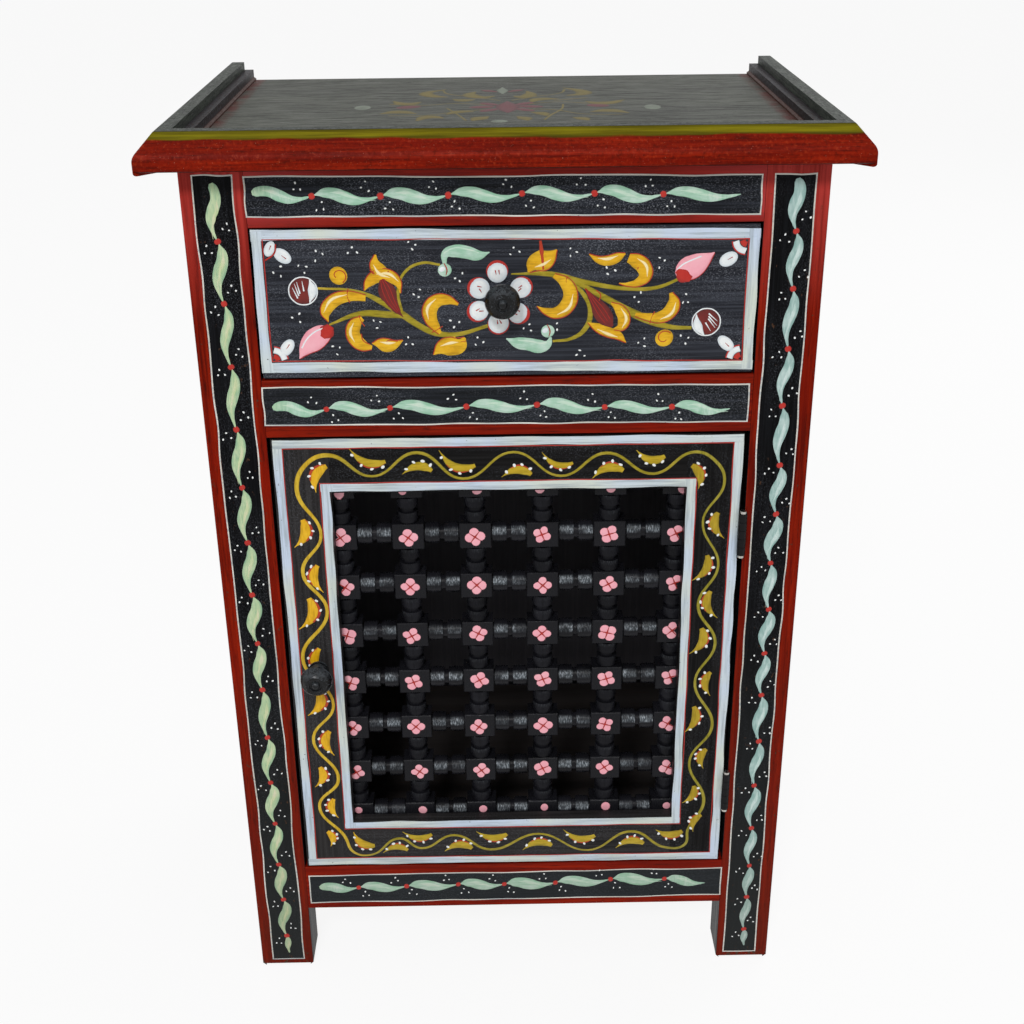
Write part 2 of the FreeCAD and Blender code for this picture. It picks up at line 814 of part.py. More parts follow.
stile = door_stile(door_left, lattice_left, door_left)
stile = stile.cut(knob_screw_hole(door_knob_x, door_knob_z, door_thickness))
save("door_stile_left", stile.cut(catch_plate()))
stile = door_stile(lattice_right, door_right, door_right)
for screw_hole in all_hinge_screws(False, screw_clearance):
    stile = stile.cut(screw_hole)
save("door_stile_right", stile)
bottom_tenon, top_tenon = door_tenons(0)
save("door_rail_bottom", door_rail(door_low, lattice_low, bottom_tenon, door_low))
save("door_rail_top", door_rail(lattice_high, door_high, top_tenon, door_high))

for row in range(lattice_rows):
    save("lattice_bar_" + str(row + 1), lattice_bar(row))
save("lattice_spindles", *lattice_spindles())
save("lattice_beads", *lattice_beads())

save("door_knob", knob(door_knob_x, door_knob_z))
save("door_knob_screw", knob_screw(door_knob_x, door_knob_z, door_thickness))

for name, z in hinge_levels.items():
    save("hinge_case_leaf_" + name, hinge_leaf(z, True))
    save("hinge_door_leaf_" + name, hinge_leaf(z, False))
save("hinge_pins", *[hinge_pin(z) for z in hinge_levels.values()])
save("case_hinge_screws", *all_hinge_screws(True, 0))
save("door_hinge_screws", *all_hinge_screws(False, 0))

save("door_stop_strip", door_stop_strip())
save("door_catch", catch_body())
save("door_catch_plate", catch_plate())
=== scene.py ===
import math
import random

import bmesh
import bpy
from mathutils import Matrix, Vector


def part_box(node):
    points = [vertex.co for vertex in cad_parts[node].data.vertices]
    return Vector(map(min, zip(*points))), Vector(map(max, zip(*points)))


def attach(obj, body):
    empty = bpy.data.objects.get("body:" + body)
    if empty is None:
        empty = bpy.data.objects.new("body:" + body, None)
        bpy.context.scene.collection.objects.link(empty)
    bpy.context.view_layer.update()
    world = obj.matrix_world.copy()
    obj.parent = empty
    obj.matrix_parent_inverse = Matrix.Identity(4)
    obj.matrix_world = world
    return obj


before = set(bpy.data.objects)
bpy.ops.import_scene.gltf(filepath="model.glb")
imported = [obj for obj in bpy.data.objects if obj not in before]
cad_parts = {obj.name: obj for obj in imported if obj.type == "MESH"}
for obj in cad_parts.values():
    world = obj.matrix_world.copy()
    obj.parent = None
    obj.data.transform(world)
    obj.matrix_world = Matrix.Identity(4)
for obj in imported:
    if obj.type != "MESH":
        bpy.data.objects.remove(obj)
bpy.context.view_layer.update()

# Painted places are given in millimetres, across from the middle and up from the floor
mm = 0.001

front_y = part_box("leg_front_left")[0].y
half_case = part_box("leg_front_right")[1].x
board_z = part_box("top_board")[1].z
lattice_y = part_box("lattice_bar_4")[0].y
lattice_axis_y = (lattice_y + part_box("lattice_bar_4")[1].y) / 2
moulding_foot_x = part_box("top_moulding_right")[0].x
panel_inner_x, panel_x = [corner.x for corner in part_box("side_panel_right")]
panel_inner_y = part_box("back_panel")[0].y

# The moulding's olive starts at this level, and its flat top at this reach out of the case
olive_foot = board_z + 8.0 * mm
olive_middle = olive_foot + 2.9 * mm
top_reach = 9.5 * mm

# Radii of the turned bars, from the foot of a ring to its crown
ring_foot, ring_side, ring_crown = 6.2 * mm, 6.8 * mm, 8.5 * mm

ACROSS, DEEP, UP = (1, 0, 0), (0, 1, 0), (0, 0, 1)


def colour(code):
    """The linear colour of a paint written as red, green and blue pairs."""
    parts = [int(code[i:i + 2], 16) / 255 for i in (0, 2, 4)]
    linear = [p / 12.92 if p <= 0.04045 else ((p + 0.055) / 1.055) ** 2.4 for p in parts]
    return (*linear, 1.0)


def worked(operation):
    """A sign that works two patterns, or a pattern and a number, into a new pattern."""
    return lambda first, *second: first.finish.calc(operation, first, *second)


class Pattern:
    """A number or a colour that changes over a surface. The sign | takes the larger number."""

    __add__, __sub__, __mul__, __truediv__ = map(worked, ("ADD", "SUBTRACT", "MULTIPLY", "DIVIDE"))
    __lt__, __gt__ = worked("LESS_THAN"), worked("GREATER_THAN")
    __or__, __abs__ = worked("MAXIMUM"), worked("ABSOLUTE")

    def __init__(self, finish, socket):
        self.finish, self.socket = finish, socket

    def __rsub__(self, number):
        return self.finish.calc("SUBTRACT", number, self)

    def spread(self, low, high, to_low=0.0, to_high=1.0):
        """Goes from to_low to to_high while the pattern goes from low to high."""
        return self.finish.lay("ShaderNodeMapRange", self, low, high, to_low, to_high)

    def mix(self, low, high):
        """One colour where the pattern is 0, and another where it is 1."""
        return self.finish.lay("ShaderNodeMix", self, low, high, data_type="RGBA")

    def tints(self, low, high):
        """One colour and another, softly parted about the middle of the pattern."""
        return self.spread(0.3, 0.7).mix(low, high)


class Finish:
    """A paint or a bare surface, mixed from nodes laid out on the object's own coordinates."""

    def __init__(self, name, specular=0.5, metallic=0.0):
        self.material = bpy.data.materials.new(name)
        self.material.use_nodes = True
        self.nodes = self.material.node_tree.nodes
        self.links = self.material.node_tree.links
        self.shader = self.nodes["Principled BSDF"]
        self.shader.inputs["Specular IOR Level"].default_value = specular
        self.shader.inputs["Metallic"].default_value = metallic
        places = self.nodes.new("ShaderNodeTexCoord").outputs
        self.place = places["Object"]
        self.x, self.y, self.z = self.parts(self.place)
        self.facing_x, self.facing_y, self.facing_z = self.parts(places["Normal"])

    def feed(self, socket, value):
        """Gives a socket a pattern, a link, the colour of a code or a plain number."""
        value = getattr(value, "socket", value)
        if isinstance(value, bpy.types.NodeSocket):
            self.links.new(value, socket)
        else:
            socket.default_value = colour(value) if isinstance(value, str) else value

    def lay(self, kind, *values, **settings):
        """Lays a node and gives its sockets their values, in order."""
        node = self.nodes.new(kind)
        for name, setting in settings.items():
            setattr(node, name, setting)
        for socket, value in zip([s for s in node.inputs if s.enabled], values):
            self.feed(socket, value)
        return Pattern(self, next(s for s in node.outputs if s.enabled))

    def parts(self, vector):
        node = self.nodes.new("ShaderNodeSeparateXYZ")
        self.links.new(vector, node.inputs[0])
        return [Pattern(self, socket) for socket in node.outputs]

    def calc(self, operation, *values):
        return self.lay("ShaderNodeMath", *values, operation=operation)

    def noise(self, stretch, detail=3.0, rough=0.55, warp=0.0):
        """Uneven clouds, squeezed alike all round or by one number for each direction."""
        if not isinstance(stretch, tuple):
            stretch = (stretch, stretch, stretch)
        squeezed = self.nodes.new("ShaderNodeMapping")
        squeezed.inputs["Scale"].default_value = stretch
        self.links.new(self.place, squeezed.inputs["Vector"])
        node = self.nodes.new("ShaderNodeTexNoise")
        for socket, value in (("Vector", squeezed.outputs[0]), ("Scale", 1.0), ("Detail", detail),
                              ("Roughness", rough), ("Distortion", warp)):
            self.feed(node.inputs[socket], value)
        return Pattern(self, node.outputs["Fac"])

    def drawn(self, grain, fine, coarse, *looks):
        """Clouds drawn out along the grain."""
        return self.noise(tuple(coarse if axis else fine for axis in grain), *looks)

    def brushed(self, upright, fine, coarse, detail):
        """Streaks that stand up where upright is 1, and lie across elsewhere."""
        return (upright * self.drawn(UP, fine, coarse, detail, 0.65)
                + (1.0 - upright) * self.drawn(ACROSS, fine, coarse, detail, 0.65))

    def stroke_body(self):
        """0 at the edge of a stroke and 1 on its body, as the stroke's own mesh has it."""
        node = self.nodes.new("ShaderNodeAttribute")
        node.attribute_name = "paint_body"
        return Pattern(self, node.outputs["Fac"])

    def done(self, coat, ridges, depth, strength, rough, span=(0.3, 0.7), raised=None):
        """Takes the coat's colour, raises its ridges, and makes it rougher or smoother there."""
        node = self.nodes.new("ShaderNodeBump")
        node.inputs["Distance"].default_value = depth * mm
        node.inputs["Strength"].default_value = strength
        self.feed(node.inputs["Height"], raised or ridges)
        self.feed(self.shader.inputs["Normal"], node.outputs[0])
        self.feed(self.shader.inputs["Base Color"], coat)
        self.feed(self.shader.inputs["Roughness"], ridges.spread(*span, *rough))
        return self.material


# The blacks: a low tint, a high tint, a tint of their streaks and how much painted highlight they
# are specked with
# The lighter blacks of the rails and the drawer are partly the paint's own tone and partly painted
# grey sheen
leg_black = ("020203", "070709", "131417", 0.2)
rail_black = ("08090C", "14161B", "2A2D35", 0.6)
drawer_black = ("1A1B21", "27292F", "3A3D45", 0.6)
stile_black = ("1A1818", "262424", "363434", 0.2)
door_black = ("050404", "0C0B0B", "1C1B1B", 0.25)
panel_black = ("0A0A0C", "17171A", "2A2A30", 0.12)

# How rough streaked paint is, and the span of its streaks over which that changes
streaked = ((0.34, 0.5), (0.35, 0.7))
front_streaked = ((0.34, 0.52), (0.8, 1.25))

# A surface that faces one way by more than this counts as that side of its piece
square_on = 0.7


def black_coat(finish, grain, tints=panel_black):
    """The black base coat with pale specks of painted highlight, and its streaks for the relief
    and the gloss.
    """
    low, high, streak, painted_glints = tints
    streaks = finish.drawn(grain, 460, 9, 5, 0.65)
    coat = finish.noise(14, 2).tints(low, high)
    coat = streaks.spread(0.44, 0.64, 0, 0.9).mix(coat, streak)
    # Pale specks, gathered in patches, are painted highlights on the brush marks
    specks = finish.drawn(grain, 1900, 1000, 2, 0.5).spread(0.54, 0.68, 0, painted_glints)
    patches = finish.drawn(grain, 50, 14, 2).spread(0.36, 0.66)
    return (specks * patches).mix(coat, "8E929C"), streaks


def red_coat(finish, grain):
    """The red base coat, and its streaks."""
    streaks = finish.drawn(grain, 420, 12, 4, 0.6)
    coat = finish.noise(9).tints("560900", "7C1200")
    coat = streaks.spread(0.42, 0.75, 0, 0.6).mix(coat, "A82808")
    dark = finish.drawn(grain, 700, 60, 5, 0.7).spread(0.52, 0.7, 0, 0.8)
    return dark.mix(coat, "3A0A02"), streaks


def inside(finish, fields):
    """1 within any of the black fields of the front and 0 around them."""
    share = None
    for x0, x1, z0, z1, lean in fields:
        off = finish.x - (x0 + x1) / 2 * mm
        side = abs(off) - (x1 - x0) / 2 * mm
        rise = finish.z - off * (lean / (x1 - x0)) - (z0 + z1) / 2 * mm
        end = abs(rise) - (z1 - z0) / 2 * mm
        field = (side | end).spread(-0.1 * mm, 0.1 * mm, 1, 0)
        share = share | field if share else field
    return share


# Black fields of the front: left, right, bottom, top, and how far the right end stands up
left_leg_field = (-191.5, -167.0, 6.5, 625.0, 0.0)
right_leg_field = (165.5, 190.8, 6.5, 621.5, 0.0)
rail_fields = [(-160.0, 157.5, 598.0, 622.5, -2.5),
               (-160.0, 157.5, 460.0, 486.0, -2.0),
               (-157.5, 160.0, 63.0, 89.0, 1.5)]


def leg_paint(name, fields, inward):
    """Red outside, black in the fields of the front and on the side that faces in."""
    finish = Finish(name, 0.05)
    black, fine = black_coat(finish, UP, leg_black)
    red, broad = red_coat(finish, UP)
    # Near the floor the black turns greyer and the red darker and browner
    near_floor = finish.z.spread(30 * mm, 320 * mm, 0.75, 0)
    black = near_floor.mix(black, "2D2F2F")
    red = (near_floor * 0.6).mix(red, "5A2418")
    glare = finish.z.spread(530 * mm, 625 * mm, 0, 0.6) * broad.spread(0.3, 0.6, 0.3, 1)
    red = glare.mix(red, "CC4A46")
    front = finish.facing_y < -square_on
    dark = (finish.facing_x * inward > square_on) | front * inside(finish, fields)
    scraped = finish.noise((260, 260, 180), 4, 0.65) + finish.z.spread(0, 14 * mm, 0.16, 0)
    coat = scraped.spread(0.66, 0.7).mix(dark.mix(red, black), "4A3426")
    return finish.done(coat, fine + broad, 0.25, 0.7, *front_streaked)


def rail_paint(name, fields):
    """Red, with its black fields on the front."""
    finish = Finish(name, 0.07)
    black, fine = black_coat(finish, ACROSS, rail_black)
    black = finish.z.spread(80 * mm, 600 * mm, 0.8, 0.1).mix(black, "25282A")
    red, broad = red_coat(finish, ACROSS)
    # Near the ends of the top rail its upper red is painted pinker: a painted glare
    ends = abs(finish.x).spread(95 * mm, 155 * mm, 0.15, 0.6)
    red = (ends * finish.z.spread(588 * mm, 600 * mm)).mix(red, "C04444")
    dark = (finish.facing_y < -square_on) * inside(finish, fields)
    return finish.done(dark.mix(red, black), fine + broad, 0.25, 0.7, *front_streaked)


def plain_paint(name, grain, tints=panel_black):
    """Black all over."""
    finish = Finish(name, 0.075)
    return finish.done(*black_coat(finish, grain, tints), 0.3, 0.7, *streaked)


def case_rail_paint(name, grain):
    """Red outside, and black where the rail stands inside the case."""
    finish = Finish(name, 0.075)
    red, streaks = red_coat(finish, grain)
    between = abs(finish.x) < panel_inner_x + 0.1 * mm
    before = finish.y < panel_inner_y + 0.1 * mm
    coat = (between * before).mix(red, black_coat(finish, grain)[0])
    return finish.done(coat, streaks, 0.3, 0.7, *streaked)


def panel_paint(name, facing, inward):
    """Black outside, and a thin greyer coat on the side that faces into the case."""
    finish = Finish(name, 0.09)
    black, streaks = black_coat(finish, UP)
    inner = getattr(finish, facing) * inward > square_on
    coat = (inner * streaks.spread(0.35, 0.6, 0.95, 0.7)).mix(black, "4E4C50")
    return finish.done(coat, streaks, 0.3, 0.7, *streaked)


def moulding_paint(name, grain, reach):
    """Red below and olive above on the slope, with a grey-green top and a dark inner side.
    reach is how far a point stands out from the case."""
    finish = Finish(name, 0.06)
    out = reach(finish)
    mottle = finish.noise(420, 5, 0.7)
    red = mottle.spread(0.52, 0.66, 0, 0.6).mix(red_coat(finish, grain)[0], "4A0E02")
    red = mottle.spread(0.44, 0.34, 0, 0.5).mix(red, "A03618")
    red = finish.noise(1400, 2).spread(0.72, 0.76, 0, 0.7).mix(red, "D8A088")
    streaks = finish.drawn(grain, 600, 20, 4)
    olive = streaks.spread(0.35, 0.7).mix("5A5206", "827A10")
    # The olive is painted darker away from its middle line: painted shade that makes the band look
    # rounded
    off_middle = abs(finish.z - olive_middle)
    olive = off_middle.spread(1.0 * mm, 2.8 * mm, 0, 0.75).mix(olive, "2E2804")
    grey = finish.drawn(grain, 900, 50, 5, 0.7).spread(0.4, 0.6).mix("0A0D0B", "3C433B")
    high = finish.z + finish.drawn(grain, 60, 16, 2).spread(0.3, 0.7, -1.0 * mm, 1.0 * mm)
    slope = high.spread(olive_foot + 0.2 * mm, olive_foot + 1.0 * mm).mix(red, olive)
    coat = out.spread(top_reach - 0.3 * mm, top_reach + 0.3 * mm, 1, 0).mix(slope, grey)
    inner = out.spread(-0.2 * mm, 0.2 * mm, 1, 0)
    dark = mottle.spread(0.5, 0.62, 0, 0.7).mix(black_coat(finish, grain)[0], "2E1210")
    coat = inner.mix(coat, dark)
    foot = finish.z.spread(board_z + 2.4 * mm, board_z + 3.0 * mm, 1, 0)
    coat = (inner * foot).mix(coat, "3A1C14")
    # Faces that look down are painted dark: a painted shade under the moulding
    coat = (finish.facing_z < -square_on).mix(coat, "2A100B")
    return finish.done(coat, mottle, 0.35, 0.8, (0.34, 0.6), (0.35, 0.7), mottle + streaks)


def board_paint(name):
    """The worn black of the top: fine short grain, a few nicks, and red at its two ends."""
    finish = Finish(name, 0.08)
    grain = finish.drawn(ACROSS, 300, 34, 6, 0.75, 0.8)
    coat = finish.noise(7).tints("3A3C37", "484A43")
    rubbed = finish.drawn(ACROSS, 60, 8, 5, 0.7)
    coat = rubbed.spread(0.4, 0.64, 0, 0.5).mix(coat, "5C5F56")
    coat = grain.spread(0.4, 0.52, 0.7, 0).mix(coat, "1C1E1B")
    nicks = finish.noise((90, 200, 100), 2, 0.5).spread(0.74, 0.78)
    coat = nicks.mix(coat, "0A0C0A")
    off = abs(finish.x)
    ends = ((off < moulding_foot_x + 2 * mm)
            * off.spread(moulding_foot_x - 9 * mm, moulding_foot_x - 5 * mm))
    bare = finish.noise(50, 4).spread(0.38, 0.6, 0.1, 0.85)
    coat = (ends * bare).mix(coat, "4A1812")
    return finish.done(coat, grain, 0.8, 0.8, (0.6, 0.42), (0.35, 0.65))


def lattice_paint(name, shine, gloss, low, high):
    """Thick black gloss, with grey and pale painted highlights in fine turned lines on the fronts
    of the rings.
    """
    finish = Finish(name, gloss)
    coat = finish.noise(40).tints(low, high)
    coat = (finish.facing_y < -0.995).mix(coat, "17171B")
    specks = finish.drawn(ACROSS, 400, 1500, 3, 0.65)
    patches = finish.noise(75, 2).spread(0.4, 0.62, 0.15 * shine, shine)
    radius = (finish.y - lattice_axis_y) / finish.facing_y
    on_ring = radius.spread(ring_foot, ring_side) * (radius < ring_crown)
    # Partway up the fronts of the rings, a painted highlight: a grey sheen with pale streaks in it
    ring_highlight = abs(finish.facing_z - 0.45).spread(0.15, 0.42, 1, 0) * on_ring * patches
    coat = (ring_highlight * 0.7).mix(coat, "4A5156")
    coat = (specks.spread(0.48, 0.7) * ring_highlight).mix(coat, "C4CCD4")
    return finish.done(coat, specks, 0.4, 0.8, (0.16, 0.34), (0.35, 0.65))


def knob_paint(name):
    """Black gloss, scratched all over, with a painted highlight where it faces up."""
    finish = Finish(name, 0.2)
    scratches = finish.noise(500, 4, 0.7, 1.5)
    coat = finish.noise(120).tints("070708", "131416")
    # A painted highlight: paler where the knob faces up
    above = finish.facing_z.spread(0.25, 0.7, 0, 0.5) * scratches.spread(0.36, 0.6)
    coat = (scratches.spread(0.57, 0.7, 0, 0.6) | above).mix(coat, "646A70")
    return finish.done(coat, scratches, 0.3, 0.6, (0.1, 0.22))


def hinge_paint(name):
    """Black paint brushed over the iron, worn to bright metal in places."""
    finish = Finish(name, 0.15)
    patches = finish.noise(260, 4, 0.65)
    bare = patches.spread(0.7, 0.74)
    finish.feed(finish.shader.inputs["Metallic"], bare)
    return finish.done(bare.mix("0C0B0D", "6E6A64"), patches, 0.2, 0.5, (0.5, 0.3))


def smooth_bare(name, stretch, detail, low, high, rough, metallic=0.0):
    """Bare metal or plastic, with only fine scratches or pebbles."""
    finish = Finish(name, metallic=metallic)
    marks = finish.noise(stretch, detail)
    return finish.done(marks.tints(low, high), marks, 0.05, 0.4, rough)


def timber(name, grain, pale="C9A877", dark="A98455", rings=90):
    """Unpainted wood: long drawn out grain, darker pores and a dull surface."""
    finish = Finish(name, 0.3)
    fibres = finish.drawn(grain, 900, 30, 5, 0.6)
    coat = finish.drawn(grain, rings, 3, 3, 0.5, 0.8).tints(dark, pale)
    coat = fibres.spread(0.6, 0.75, 0, 0.5).mix(coat, "5B3B22")
    return finish.done(coat, fibres, 0.15, 0.5, (0.6, 0.78))


def brush_paint(name, edge, middle, streak, rough=(0.34, 0.5), gloss=0.4):
    """Paint of a single stroke: one tint at its edge, one in the middle and brush streaks."""
    finish = Finish(name, gloss)
    streaks = finish.noise(900, 4, 0.6)
    coat = finish.stroke_body().mix(edge, middle)
    coat = finish.noise(110).spread(0.4, 0.75, 0, 0.55).mix(coat, streak)
    coat = streaks.spread(0.5, 0.8, 0, 0.35).mix(coat, streak)
    return finish.done(coat, streaks, 0.08, 0.5, rough)


def border_paint(name, cool, warm, side=0.0, low=0.0, high=0.0):
    """White border paint, laid on thinly: streaked, with dark nicks where it has chipped.
    The upright lines lie beyond side from the middle, between the levels low and high."""
    finish = Finish(name, 0.2)
    coat = finish.noise(16).spread(0.38, 0.62).mix(cool, warm)
    between = abs(finish.z - (low + high) / 2 * mm) < (high - low) / 2 * mm
    streaks = finish.brushed((abs(finish.x) > side * mm) * between, 520, 22, 5)
    coat = streaks.spread(0.46, 0.66, 0, 0.75).mix(coat, "98A4AC")
    nicks = finish.noise(520, 3, 0.6).spread(0.71, 0.74)
    return finish.done(nicks.mix(coat, "2C2C30"), streaks, 0.12, 0.5, (0.4, 0.56))


def leaf_paint(name, left, middle, right, change=(165, 140)):
    """Leaf paint mixed anew as the work went on from the left side to the right side.
    Each mix has its tint at the edge of a stroke, in the middle and in the streaks."""
    finish = Finish(name, 0.3)
    far, near = change
    early = finish.x.spread(-far * mm, -near * mm, 1, 0)
    late = finish.x.spread(near * mm, far * mm)
    edge, body, streak = [late.mix(early.mix(b, a), c) for a, b, c in zip(left, middle, right)]
    streaks = finish.brushed(abs(finish.x) > 124 * mm, 800, 110, 4)
    coat = finish.stroke_body().mix(edge, body)
    coat = finish.noise(120).spread(0.42, 0.68, 0, 0.7).mix(coat, streak)
    coat = streaks.spread(0.5, 0.66, 0, 0.6).mix(coat, edge)
    coat = streaks.spread(0.46, 0.32, 0, 0.6).mix(coat, streak)
    coat = finish.z.spread(60 * mm, 130 * mm, 0.3, 0).mix(coat, "868670")
    return finish.done(coat, streaks, 0.15, 0.6, (0.34, 0.5))


def dress(finish, nodes):
    """Gives CAD pieces their finish. Their shapes stay as they are."""
    for node in nodes.split():
        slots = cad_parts[node].material_slots
        for slot in slots:
            slot.material = finish
        if not slots:
            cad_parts[node].data.materials.append(finish)


dress(leg_paint("left_leg_paint", [left_leg_field], 1), "leg_front_left leg_back_left")
dress(leg_paint("right_leg_paint", [right_leg_field], -1), "leg_front_right leg_back_right")
dress(rail_paint("front_rail_paint", rail_fields),
      "front_rail_top front_rail_middle front_rail_bottom")
dress(case_rail_paint("back_rail_paint", ACROSS), "back_rail_top back_rail_bottom")
dress(case_rail_paint("side_rail_paint", DEEP), "side_rail_top_left side_rail_top_right"
      " side_rail_bottom_left side_rail_bottom_right")
dress(panel_paint("left_panel_paint", "facing_x", 1), "side_panel_left")
dress(panel_paint("right_panel_paint", "facing_x", -1), "side_panel_right")
dress(panel_paint("back_panel_paint", "facing_y", -1), "back_panel")
dress(plain_paint("drawer_front_paint", ACROSS, drawer_black), "drawer_front")
dress(plain_paint("door_stile_paint", UP, stile_black), "door_stile_left")
dress(plain_paint("door_far_stile_paint", UP, door_black), "door_stile_right")
dress(plain_paint("door_rail_paint", ACROSS, door_black), "door_rail_top")
dress(plain_paint("door_low_rail_paint", ACROSS, stile_black), "door_rail_bottom")
dress(plain_paint("bead_paint", UP), "lattice_beads")
dress(moulding_paint("front_moulding_paint", ACROSS, lambda at: front_y - at.y),
      "top_moulding_front")
dress(moulding_paint("side_moulding_paint", DEEP, lambda at: abs(at.x) - half_case),
      "top_moulding_left top_moulding_right")
dress(board_paint("top_board_paint"), "top_board")
dress(lattice_paint("lattice_bar_black", 1.0, 0.12, "101013", "202025"),
      " ".join("lattice_bar_" + str(row) for row in range(1, 9)))
dress(lattice_paint("lattice_spindle_black", 0.3, 0.07, "101013", "1F1F24"),
      "lattice_spindles")
dress(knob_paint("knob_black"), "drawer_knob door_knob")
dress(hinge_paint("hinge_black"), "hinge_case_leaf_upper hinge_case_leaf_lower"
      " hinge_door_leaf_upper hinge_door_leaf_lower")
dress(smooth_bare("bright_steel", (1200, 1200, 200), 4, "9C9992", "D6D4CE", (0.2, 0.38), 1.0),
      "hinge_pins case_hinge_screws door_hinge_screws drawer_knob_screw door_knob_screw"
      " door_catch_plate")
dress(smooth_bare("brown_plastic", 900, 2, "5A3B22", "6A4A2E", (0.4, 0.5)), "door_catch")
dress(timber("plain_board_wood", DEEP), "drawer_side_left drawer_side_right drawer_runner_left"
      " drawer_runner_right drawer_kickers floor_cleats drawer_stops")
dress(timber("drawer_back_wood", ACROSS), "drawer_back")
dress(timber("stop_strip_wood", UP), "door_stop_strip")
dress(timber("thin_sheet_wood", ACROSS, "CDB184", "B8925F", 30), "drawer_bottom")
dress(timber("black_stained_sheet", ACROSS, "443F3E", "2E2A29", 30), "cabinet_floor")


def face_at(origin, across, up):
    """Turns painted places, across and up a flat face and out from it, into the frame."""
    across, up = Vector(across), Vector(up)
    turn = Matrix((across, up, across.cross(up))).transposed()
    return Matrix.Translation(origin) @ turn.to_4x4()


front_face = face_at((0, front_y, 0), ACROSS, UP)
lattice_face = face_at((0, lattice_y, 0), ACROSS, UP)
board_face = face_at((0, front_y, board_z), ACROSS, DEEP)
left_face = face_at((-panel_x, 0, 0), (0, -1, 0), UP)
right_face = face_at((panel_x, 0, 0), DEEP, UP)


def around(x, z, reach, angle):
    return x + reach * math.cos(angle), z + reach * math.sin(angle)


class Brushwork:
    """Strokes and dabs of one paint on a flat face of one body, kept as one piece.
    Each stroke is a list of places with its half width there, all in millimetres."""

    # How thick the paint is, how far its back and its edge are sunk into the wood, and how
    # near to the face a point still counts as the edge
    thickness = 0.28
    sunk = 0.1
    edge_sunk = 0.02
    flat = 0.01

    def __init__(self, name, body, slot, finish, face, lift=0.0):
        self.name, self.body, self.slot = name, body, slot
        self.finish, self.face, self.lift = finish, face, lift
        self.curve = bpy.data.curves.new(name, "CURVE")
        self.curve.dimensions = "3D"
        self.curve.twist_mode = "Z_UP"
        self.curve.bevel_depth = mm
        self.curve.bevel_resolution = 1
        self.curve.resolution_u = 5
        self.curve.use_fill_caps = True
        self.dabs = bmesh.new()

    def stroke(self, points, closed=False):
        spline = self.curve.splines.new("BEZIER")
        spline.bezier_points.add(len(points) - 1)
        spline.radius_interpolation = "CARDINAL"
        spline.use_cyclic_u = closed
        for knot, (x, z, half) in zip(spline.bezier_points, points):
            knot.co = (x * mm, z * mm, 0)
            knot.radius = half
            knot.handle_left_type = knot.handle_right_type = "AUTO"

    def ring(self, x, z, radius, half):
        self.stroke([(*around(x, z, radius, i * math.tau / 8), half) for i in range(8)],
                    closed=True)

    def dab(self, x, z, wide, tall, turn=0.0, sides=18):
        place = (Matrix.Translation((x * mm, z * mm, 0))
                 @ Matrix.Rotation(math.radians(turn), 4, "Z")
                 @ Matrix.Diagonal((wide * mm, tall * mm, mm, 1)))
        bmesh.ops.create_cone(self.dabs, segments=sides, radius1=1, radius2=0.66, depth=1,
                              cap_ends=True, matrix=place)

    def done(self):
        """Lays the strokes flat on the face, gives them their thickness and dresses them."""
        shape = bmesh.new()
        if len(self.curve.splines):
            holder = bpy.data.objects.new(self.name + "_line", self.curve)
            drawn = bpy.data.meshes.new_from_object(holder)
            shape.from_mesh(drawn)
            bpy.data.objects.remove(holder)
            bpy.data.meshes.remove(drawn)
            bmesh.ops.remove_doubles(shape, verts=shape.verts, dist=0.001 * mm)
        cones = bpy.data.meshes.new(self.name)
        self.dabs.to_mesh(cones)
        self.dabs.free()
        shape.from_mesh(cones)
        body = shape.verts.layers.float.new("paint_body")
        for vert in shape.verts:
            over = vert.co.z / mm
            if over > self.flat:
                vert[body] = 1.0
                level = self.lift + self.thickness * over / (over + 0.5)
            else:
                level = self.lift - (self.sunk if over < -self.flat else self.edge_sunk)
            vert.co.z = level * mm
        bmesh.ops.recalc_face_normals(shape, faces=shape.faces)
        shape.transform(self.face)
        for side in shape.faces:
            side.smooth = True
        shape.to_mesh(cones)
        shape.free()
        cones.set_sharp_from_angle(angle=math.radians(35))
        cones.materials.append(self.finish)
        piece = bpy.data.objects.new(self.name, cones)
        bpy.context.scene.collection.objects.link(piece)
        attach(piece, self.body)
        bpy.data.curves.remove(self.curve)


def started(body, slot, face, *works):
    """Brushwork on one face, each with its name, its paint and how far it is lifted."""
    return [Brushwork(name, body, slot, paint, face, lift) for name, paint, lift in works]


def speck(work, chance, x, z, wide, tall, sides):
    """A small dot of paint, of uncertain width and height and turned any way."""
    work.dab(x, z, chance.uniform(*wide), chance.uniform(*tall), chance.uniform(0, 180), sides)


def finished(*works):
    for work in works:
        work.done()


# Paints of the ornament
cream = border_paint("cream_line", "CCC8BC", "E2E0D8")
drawer_white = border_paint("drawer_white", "C9D7EA", "D2DACE", 151.5, 496, 590)
door_white = border_paint("door_white", "C8D6E8", "D2DAD0", 118.5, 105, 444)
thin_red = brush_paint("thin_red_line", "8E1208", "B3200F", "7A1208")
mint = leaf_paint("mint_leaf", ("84AC8E", "B0C89C", "CAD8B0"), ("88B89A", "A2CAB2", "C8DCD0"),
                  ("80A49E", "9CBAB4", "C0D4D0"))
mint_light = leaf_paint("mint_light", ("A8C890", "CCD4A8", "DCD6BC"),
                        ("A2D0B4", "C2DCC8", "D6E2D4"), ("A4C4BC", "C0D6D0", "D4E2E0"))
dot_red = brush_paint("berry_red", "8A140C", "B41E12", "C8382A")
dot_white = brush_paint("dot_white", "D8DCDC", "F0F2F0", "E2E6E6")
vine_ochre = leaf_paint("vine_ochre", ("A07E08", "CCA61C", "E0C040"),
                        ("665C04", "9A8A0E", "B09C30"), ("625C06", "908616", "A89A38"), (130, 105))
